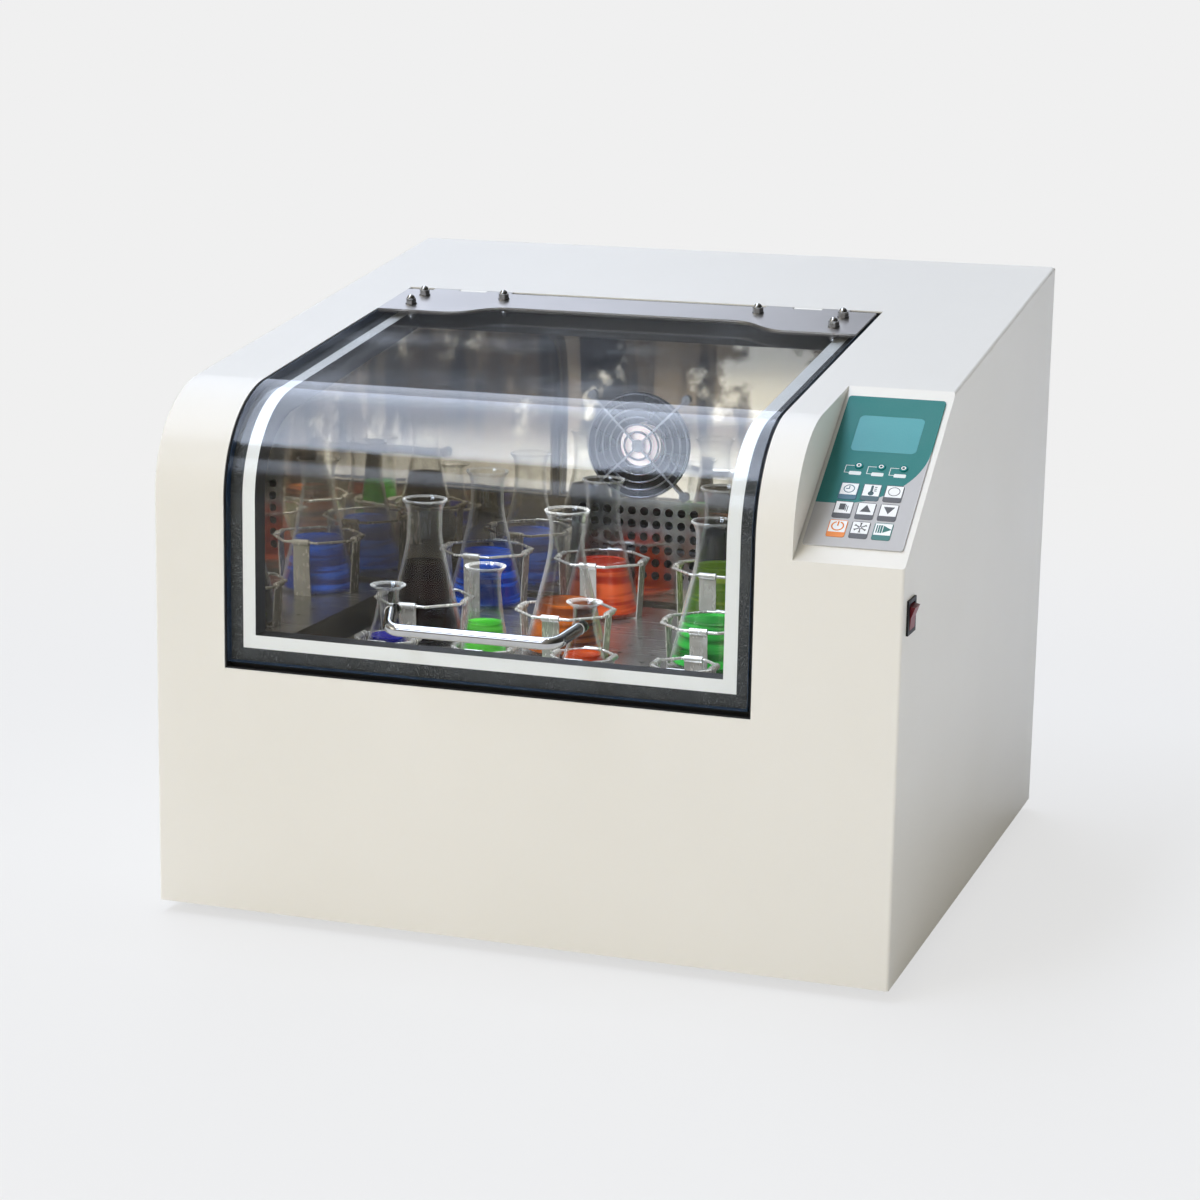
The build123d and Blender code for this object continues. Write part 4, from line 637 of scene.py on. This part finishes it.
def keyFace(number, u0, v0, ink, look):
    material, start = startMaterial(f"keyFace{number}")
    u, v = panelAxes(start)
    across, up = u - u0, v - v0
    grain = here(start).noise(look["grainScale"])
    sides = abs(across) > look["width"] / 2 - look["border"]
    rim = sides.larger(abs(up) > look["length"] / 2 - look["border"])
    inked = (up < look["strip"]).larger(rim)
    close(start, principled(start, {
        "Base Color": inked.blend(grain.blend(look["white"], look["shade"]), inks[ink]),
        "Roughness": look["rough"] + grain * look["roughSpread"],
        "Normal": grain.bump(look["bump"], look["depth"])}))
    return material


inkLook = {"shade": 0.85, "grainScale": 2200.0, "rough": 0.4, "roughSpread": 0.12}


def printInk(name, tone):
    material, start = startMaterial(name)
    grain = here(start).noise(inkLook["grainScale"])
    shade = tuple(part * inkLook["shade"] for part in tone[:3]) + (1.0,)
    close(start, principled(start, {
        "Base Color": grain.blend(shade, tone),
        "Roughness": inkLook["rough"] + grain * inkLook["roughSpread"]}))
    return material


def applyPlace():
    bpy.ops.object.transform_apply(location=True, rotation=True, scale=True)


def flatShape(kind, x, y, **size):
    # one flat outline in millimetres, on the XY plane
    bpy.ops.object.select_all(action="DESELECT")
    place = (x * mm, y * mm, 0)
    turn = (0, 0, radians(size.get("turn", 0)))
    if kind == "bar":
        bpy.ops.mesh.primitive_plane_add(size=1, location=place, rotation=turn)
        bpy.context.object.scale = (size["width"] * mm, size["height"] * mm, 1)
    else:
        bpy.ops.mesh.primitive_circle_add(vertices=size.get("corners", 36), radius=size["radius"] * mm,
                                          fill_type="NGON", location=place, rotation=turn)
    applyPlace()
    shape = bpy.context.object
    bpy.ops.object.mode_set(mode="EDIT")
    bpy.ops.mesh.select_all(action="SELECT")
    if "round" in size:
        bpy.ops.mesh.bevel(offset=size["round"] * mm, segments=4, affect="VERTICES")
    if kind == "ring":
        bpy.ops.mesh.inset(thickness=size["width"] * mm)
        bpy.ops.mesh.delete(type="FACE")
    bpy.ops.object.mode_set(mode="OBJECT")
    if "gap" in size:
        middle, half = size["gap"]
        for face in shape.data.polygons:
            heading = degrees(atan2(face.center.y - y * mm, face.center.x - x * mm))
            face.select = abs((heading - middle + 180) % 360 - 180) < half
        bpy.ops.object.mode_set(mode="EDIT")
        bpy.ops.mesh.select_mode(type="FACE")
        bpy.ops.mesh.delete(type="FACE")
        bpy.ops.object.mode_set(mode="OBJECT")
    return shape


def printed(name, shapes, matrix, thickness, material, body):
    # flat outlines joined, raised to a thin print and set in place
    parts = [flatShape(kind, x, y, **size) for kind, x, y, size in shapes]
    for part in parts:
        part.select_set(True)
    bpy.context.view_layer.objects.active = parts[0]
    if len(parts) > 1:
        bpy.ops.object.join()
    piece = bpy.context.object
    bpy.ops.object.mode_set(mode="EDIT")
    bpy.ops.mesh.select_all(action="SELECT")
    bpy.ops.mesh.extrude_region_move(TRANSFORM_OT_translate={"value": (0, 0, thickness * mm)})
    bpy.ops.mesh.select_all(action="SELECT")
    bpy.ops.mesh.normals_make_consistent(inside=False)
    bpy.ops.object.mode_set(mode="OBJECT")
    piece.name = name
    piece.matrix_world = matrix
    applyPlace()
    piece.data.materials.clear()
    piece.data.materials.append(material)
    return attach(piece, body)


def around(count, radius, turn, kind, size):
    # one outline a few times round the middle, each turned with its place
    places = [360 / count * step + 30 for step in range(count)]
    return [(kind, radius * cos(radians(place)), radius * sin(radians(place)), {**size, "turn": place + turn})
            for place in places]


# pictograms, in millimetres from the middle of the key's white field
dash = {"width": 2.4, "height": 0.9}
icons = {
    1: ("orange", [("ring", 0, 0, {"radius": 6.0, "width": 1.3, "gap": (90, 24)}),
                   ("bar", 0, 3.2, {"width": 1.3, "height": 6.0})]),
    2: ("grey", around(6, 3.3, 0, "bar", {"width": 5.0, "height": 1.1})
        + around(6, 5.4, 90, "disc", {"radius": 1.5, "corners": 3})),
    3: ("teal", [("bar", -5.8 + 2.1 * step, 0, {"width": 1.1 + 0.3 * step, "height": 9.6})
                 for step in range(3)]
        + [("disc", 2.6, 0, {"radius": 5.2, "corners": 3, "turn": -90})]),
    4: ("grey", [("bar", -1.3, 0.6, {"width": 5.4, "height": 7.6}),
                 ("bar", 2.2, -0.5, {"width": 0.7, "height": 7.6}),
                 ("bar", 3.9, -1.6, {"width": 0.7, "height": 7.6})]),
    5: ("grey", [("disc", 0, -1.1, {"radius": 6.0, "corners": 3, "turn": 0})]),
    6: ("grey", [("disc", 0, 1.1, {"radius": 6.0, "corners": 3, "turn": 180})]),
    7: ("blue", [("ring", 0, 0, {"radius": 5.2, "width": 0.8}),
                 ("bar", 0, 1.7, {"width": 0.8, "height": 4.0}),
                 ("bar", -1.7, 0, {"width": 2.6, "height": 0.8})]),
    8: ("slate", [("bar", 0, 1.4, {"width": 2.2, "height": 9.4, "round": 1.0}),
                  ("disc", 0, -4.2, {"radius": 2.7})]
        + [("bar", 3.4, up, dash) for up in (4.0, 1.6, -0.8)]),
    9: ("grey", [("ring", 0, 0, {"radius": 5.6, "width": 0.7})]),
}
iconInks = {name: printInk(name + "Ink", tone) for name, tone in inks.items()}
stripInks = {1: "orange", 3: "teal", 7: "blue", 8: "slate"}  # grey on the other keys
for number, (ink, shapes) in icons.items():
    u = keyLook["columns"][(number - 1) % 3]
    v = keyLook["rows"][(number - 1) // 3]
    dress(keyFace(number, u, v, stripInks.get(number, "grey"), keyLook), f"key_{number}")
    printed(f"key_{number}_icon", shapes, panelPlace(u, v + keyLook["iconUp"], keyLook["top"]),
            keyLook["print"], iconInks[ink], f"button_{number}")

dress(overlayFilm(panel), "panel_overlay")
dress(displayGlass(displayLook), "display_window")
leadLook = {
    "ink": colour(235, 240, 238), "top": 1.5, "print": 0.08,
    # printed bars by each lamp: across from the lamp, up the panel, size
    "bars": ((-7.6, 125.0, {"width": 9.4, "height": 0.6}), (-12.0, 120.3, {"width": 0.6, "height": 8.8}),
             (-9.9, 115.6, {"width": 4.8, "height": 0.6}),
             (-1.8, 115.4, {"width": 11.4, "height": 4.6, "round": 1.2})),
}
whitePrint = printInk("whitePrint", leadLook["ink"])
for number, lampU in enumerate(lampLook["columns"], 1):
    lines = [("bar", lampU + across, up, size) for across, up, size in leadLook["bars"]]
    printed(f"lamp_{number}_lead", lines, panelPlace(0, 0, leadLook["top"]), leadLook["print"], whitePrint,
            "cabinet")
dress(lampLens(lampLook), "indicator_leds")
print("control panel printed")

# flasks and what is in them
glassLook = {"ior": 1.30, "tint": (0.985, 0.99, 0.99, 1.0), "shine": (0.97, 0.985, 0.99, 1.0),
             "rough": 0.03, "roughSpread": 0.03, "seedScale": 60.0, "bump": 0.04, "depth": 0.0006,
             "rim": 0.7, "matt": 0.6,  # how much brighter and whiter a wall is where it is seen edge-on, the whiter part a painted highlight
             "lip": 2.6, "lipHighlight": 0.13}  # height of the lip, and how much brighter it is, a painted highlight


def flaskGlass(look, lipHeight):
    material, start = startMaterial("flaskGlass")
    at = here(start)
    lip = at.axis("Z") > (lipHeight - look["lip"]) * mm
    seed = at.noise(look["seedScale"])
    facing = start.node("ShaderNodeLayerWeight", None, {"Blend": 0.5}, "Facing")
    clear = start.node("ShaderNodeBsdfTransparent", None, {0: look["tint"]})
    # edge-on walls and the lip turn partly from mirror to white: a painted highlight
    shine = principled(start, {
        "Base Color": look["shine"], "Metallic": 1 - (facing ** 2).larger(lip) * look["matt"],
        "Roughness": look["rough"] + seed * look["roughSpread"],
        "Normal": seed.bump(look["bump"], look["depth"])})
    # the lip band gets more of the white shine: a painted highlight along the rim
    share = start.mirrorShare(look["ior"]) + (facing ** 3) * look["rim"] + lip * look["lipHighlight"]
    close(start, mixShaders(start, share.smaller(1.0), clear, shine))
    return material


liquidLook = {"bands": (9.0, 9.0, 150.0), "bandsFrom": (0.40, 0.62), "bandShare": 0.8, "cloudScale": 45.0,
              "rough": 0.03, "roughSpread": 0.05, "ior": 1.33, "clear": 0.4, "bump": 0.35, "depth": 0.004}


def liquid(name, look, tone, paintedDarkBand, paintedGlow):
    material, start = startMaterial(name)
    at = here(start)
    # bands of painted light and painted shade that stand in for refraction through the liquid; they also
    # shape a ripple bump
    rippleAndPaintedLight = at.stretched(*look["bands"]).noise(1.0)
    cloud = at.noise(look["cloudScale"])
    share = rippleAndPaintedLight.over(*look["bandsFrom"]) * look["bandShare"] + cloud * (1 - look["bandShare"])
    mixed = share.blend(paintedDarkBand, tone)
    # the liquid also gets a painted glow in its own banded colour, though it is no lamp
    close(start, principled(start, {
        "Base Color": mixed, "Roughness": look["rough"] + cloud * look["roughSpread"], "IOR": look["ior"],
        "Transmission Weight": look["clear"], "Emission Color": mixed, "Emission Strength": paintedGlow,
        "Normal": rippleAndPaintedLight.bump(look["bump"], look["depth"])}))
    return material


glassware = {
    "large": {"base": 41.0, "height": 145.0, "neck": 17.5, "rim": 23.0, "wall": 1.8},
    "middle": {"base": 26.0, "height": 103.0, "neck": 15.0, "rim": 20.5, "wall": 1.8},
    "small": {"base": 25.0, "height": 76.0, "neck": 10.5, "rim": 18.0, "wall": 1.6},
    "stand": 253.2, "shift": (-3.302, 18.25), "segments": 48,
    "gap": 0.15, "bed": 1.5,  # room between liquid and wall, and under the liquid
}
flaskPlaces = {
    # name: size, x, y, liquid level, liquid
    "back_left": ("large", -176.0, 45.0, 57.0, "blue"),
    "back_middle": ("large", -45.0, 45.0, 57.0, "orangeRed"),
    "back_right": ("large", 86.0, 45.0, 62.0, "yellowGreen"),
    "front_left": ("large", -171.0, -145.0, 80.0, "dark"),
    "front_middle": ("large", -18.5, -145.0, 52.0, "amber"),
    "front_right": ("large", 134.0, -145.0, 46.0, "green"),
    "small_left": ("small", -168.0, -247.0, 25.0, "violet"),
    "small_middle": ("middle", -66.0, -247.0, 47.0, "lightGreen"),
    "small_right": ("small", 36.0, -247.0, 25.0, "orange"),
}
liquids = {
    # the liquid's own colour as light bands and dark bands, painted light and shade for refraction, and a
    # painted glow
    "blue": (colour(46, 120, 255), colour(2, 12, 96), 0.16),
    "orangeRed": (colour(255, 120, 62), colour(168, 28, 6), 0.12),
    "yellowGreen": (colour(226, 250, 70), colour(120, 170, 8), 0.14),
    "dark": (colour(44, 28, 24), colour(6, 4, 5), 0.0),
    "amber": (colour(236, 128, 44), colour(92, 34, 6), 0.07),
    "green": (colour(70, 226, 92), colour(0, 84, 20), 0.10),
    "violet": (colour(64, 66, 230), colour(8, 6, 84), 0.12),
    "lightGreen": (colour(124, 240, 92), colour(24, 138, 30), 0.12),
    "orange": (colour(255, 132, 56), colour(180, 44, 8), 0.12),
}


def flaskOutline(size):
    # radius and height from the middle of the bottom up to the lip
    base, height, neck, rim = size["base"], size["height"], size["neck"], size["rim"]
    foot, shoulder = base * 0.16, height * 0.70
    lean = (base - neck) / (shoulder - foot)
    points = [(base * 0.80, 1.2), (base * 0.86, 0.0), (base * 0.93, 0.5), (base * 0.98, base * 0.06),
              (base, base * 0.15)]
    for share in (0.12, 0.3, 0.5, 0.7, 0.86):
        rise = share * (shoulder - foot)
        points.append((base - lean * rise, foot + rise))
    points += [(neck + 1.6, height * 0.68), (neck + 0.6, height * 0.72), (neck, height * 0.77),
               (neck, height * 0.90), (neck + 0.7, height * 0.93), (rim - 2.6, height * 0.965),
               (rim - 0.6, height * 0.98), (rim, height * 0.99), (rim - 0.4, height)]
    return points


def turned(name, outline, segments, hollow=True):
    # a ring raised and resized from each point of the outline to the next
    (radius, height), *others = outline
    bpy.ops.object.select_all(action="DESELECT")
    bpy.ops.mesh.primitive_circle_add(vertices=segments, radius=radius * mm, fill_type="NGON",
                                      location=(0, 0, height * mm))
    piece = bpy.context.object
    bpy.ops.object.mode_set(mode="EDIT")
    bpy.ops.mesh.select_mode(type="FACE")
    bpy.ops.mesh.select_all(action="SELECT")
    for nextRadius, nextHeight in others:
        bpy.ops.mesh.extrude_region_move(
            TRANSFORM_OT_translate={"value": (0, 0, (nextHeight - height) * mm)})
        share = nextRadius / radius
        bpy.ops.transform.resize(value=(share, share, 1), center_override=(0, 0, nextHeight * mm))
        radius, height = nextRadius, nextHeight
    if hollow:
        bpy.ops.mesh.delete(type="ONLY_FACE")
    bpy.ops.mesh.select_all(action="SELECT")
    bpy.ops.mesh.normals_make_consistent(inside=False)
    bpy.ops.object.mode_set(mode="OBJECT")
    applyPlace()
    piece.name = name
    return piece


def insideRadius(outline, height, wall):
    # the foot's rounding is skipped, and below it the radius stays the same
    inset = wall + glassware["gap"]
    for (r0, z0), (r1, z1) in zip(outline[2:], outline[3:]):
        if z0 <= height <= z1:
            return r0 + (r1 - r0) * (height - z0) / (z1 - z0) - inset
    return outline[2][0] - inset


def flaskBody(size):
    piece = turned("flaskBody", flaskOutline(size), glassware["segments"])
    wall = piece.modifiers.new("wall", "SOLIDIFY")
    wall.thickness = size["wall"] * mm
    wall.offset = -1
    bpy.ops.object.modifier_apply(modifier="wall")
    smooth = piece.modifiers.new("smooth", "SUBSURF")
    smooth.levels = smooth.render_levels = 1
    bpy.ops.object.modifier_apply(modifier="smooth")
    bpy.ops.object.shade_smooth()
    return piece


def liquidBody(size, level):
    outline = flaskOutline(size)
    floor = size["wall"] + glassware["bed"]
    heights = [floor, floor + 1.2, floor + 3.5]
    heights += [floor + (level - floor) * share for share in (0.3, 0.6, 0.9, 1.0)]
    points = [(insideRadius(outline, z, size["wall"]), z) for z in heights]
    points[0] = (points[0][0] * 0.9, points[0][1])
    points.insert(0, (points[0][0] * 0.6, floor - 0.3))
    points.append((points[-1][0] - 1.6, level - 0.7))  # the surface sinks a little from the wall
    points.append((points[-1][0] * 0.6, level - 0.9))
    piece = turned("liquidBody", points, glassware["segments"], hollow=False)
    bpy.ops.object.shade_smooth_by_angle(angle=radians(50))
    return piece


def copied(piece, name, x, y, z):
    twin = piece.copy()
    twin.data = piece.data.copy()
    twin.name = name
    bpy.context.scene.collection.objects.link(twin)
    twin.data.transform(Matrix.Translation((x * mm, y * mm, z * mm)))
    return twin


def makeGlassware():
    glass = {kind: flaskGlass(glassLook, glassware["stand"] + glassware[kind]["height"])
             for kind in ("large", "middle", "small")}
    bodies = {name: flaskBody(glassware[name]) for name in ("large", "middle", "small")}
    poured = {name: liquid(name + "Liquid", liquidLook, *tones) for name, tones in liquids.items()}
    shiftX, shiftY = glassware["shift"]
    flasks = {"large": [], "small": []}
    for name, (kind, x, y, level, fill) in flaskPlaces.items():
        place = (x + shiftX, y + shiftY, glassware["stand"])
        twin = copied(bodies[kind], f"flask_{name}", *place)
        twin.data.materials.append(glass[kind])
        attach(twin, "platform")
        flasks["large" if kind == "large" else "small"].append(twin)
        pool = liquidBody(glassware[kind], level)
        pool.name = f"liquid_{name}"
        pool.data.transform(Matrix.Translation([part * mm for part in place]))
        pool.data.materials.append(poured[fill])
        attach(pool, "platform")
    for body in bodies.values():
        bpy.data.objects.remove(body)
    for twin in flasks["large"]:
        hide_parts("flasks_large")
    for twin in flasks["small"]:
        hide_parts("flasks_small")


makeGlassware()
print("flasks filled")
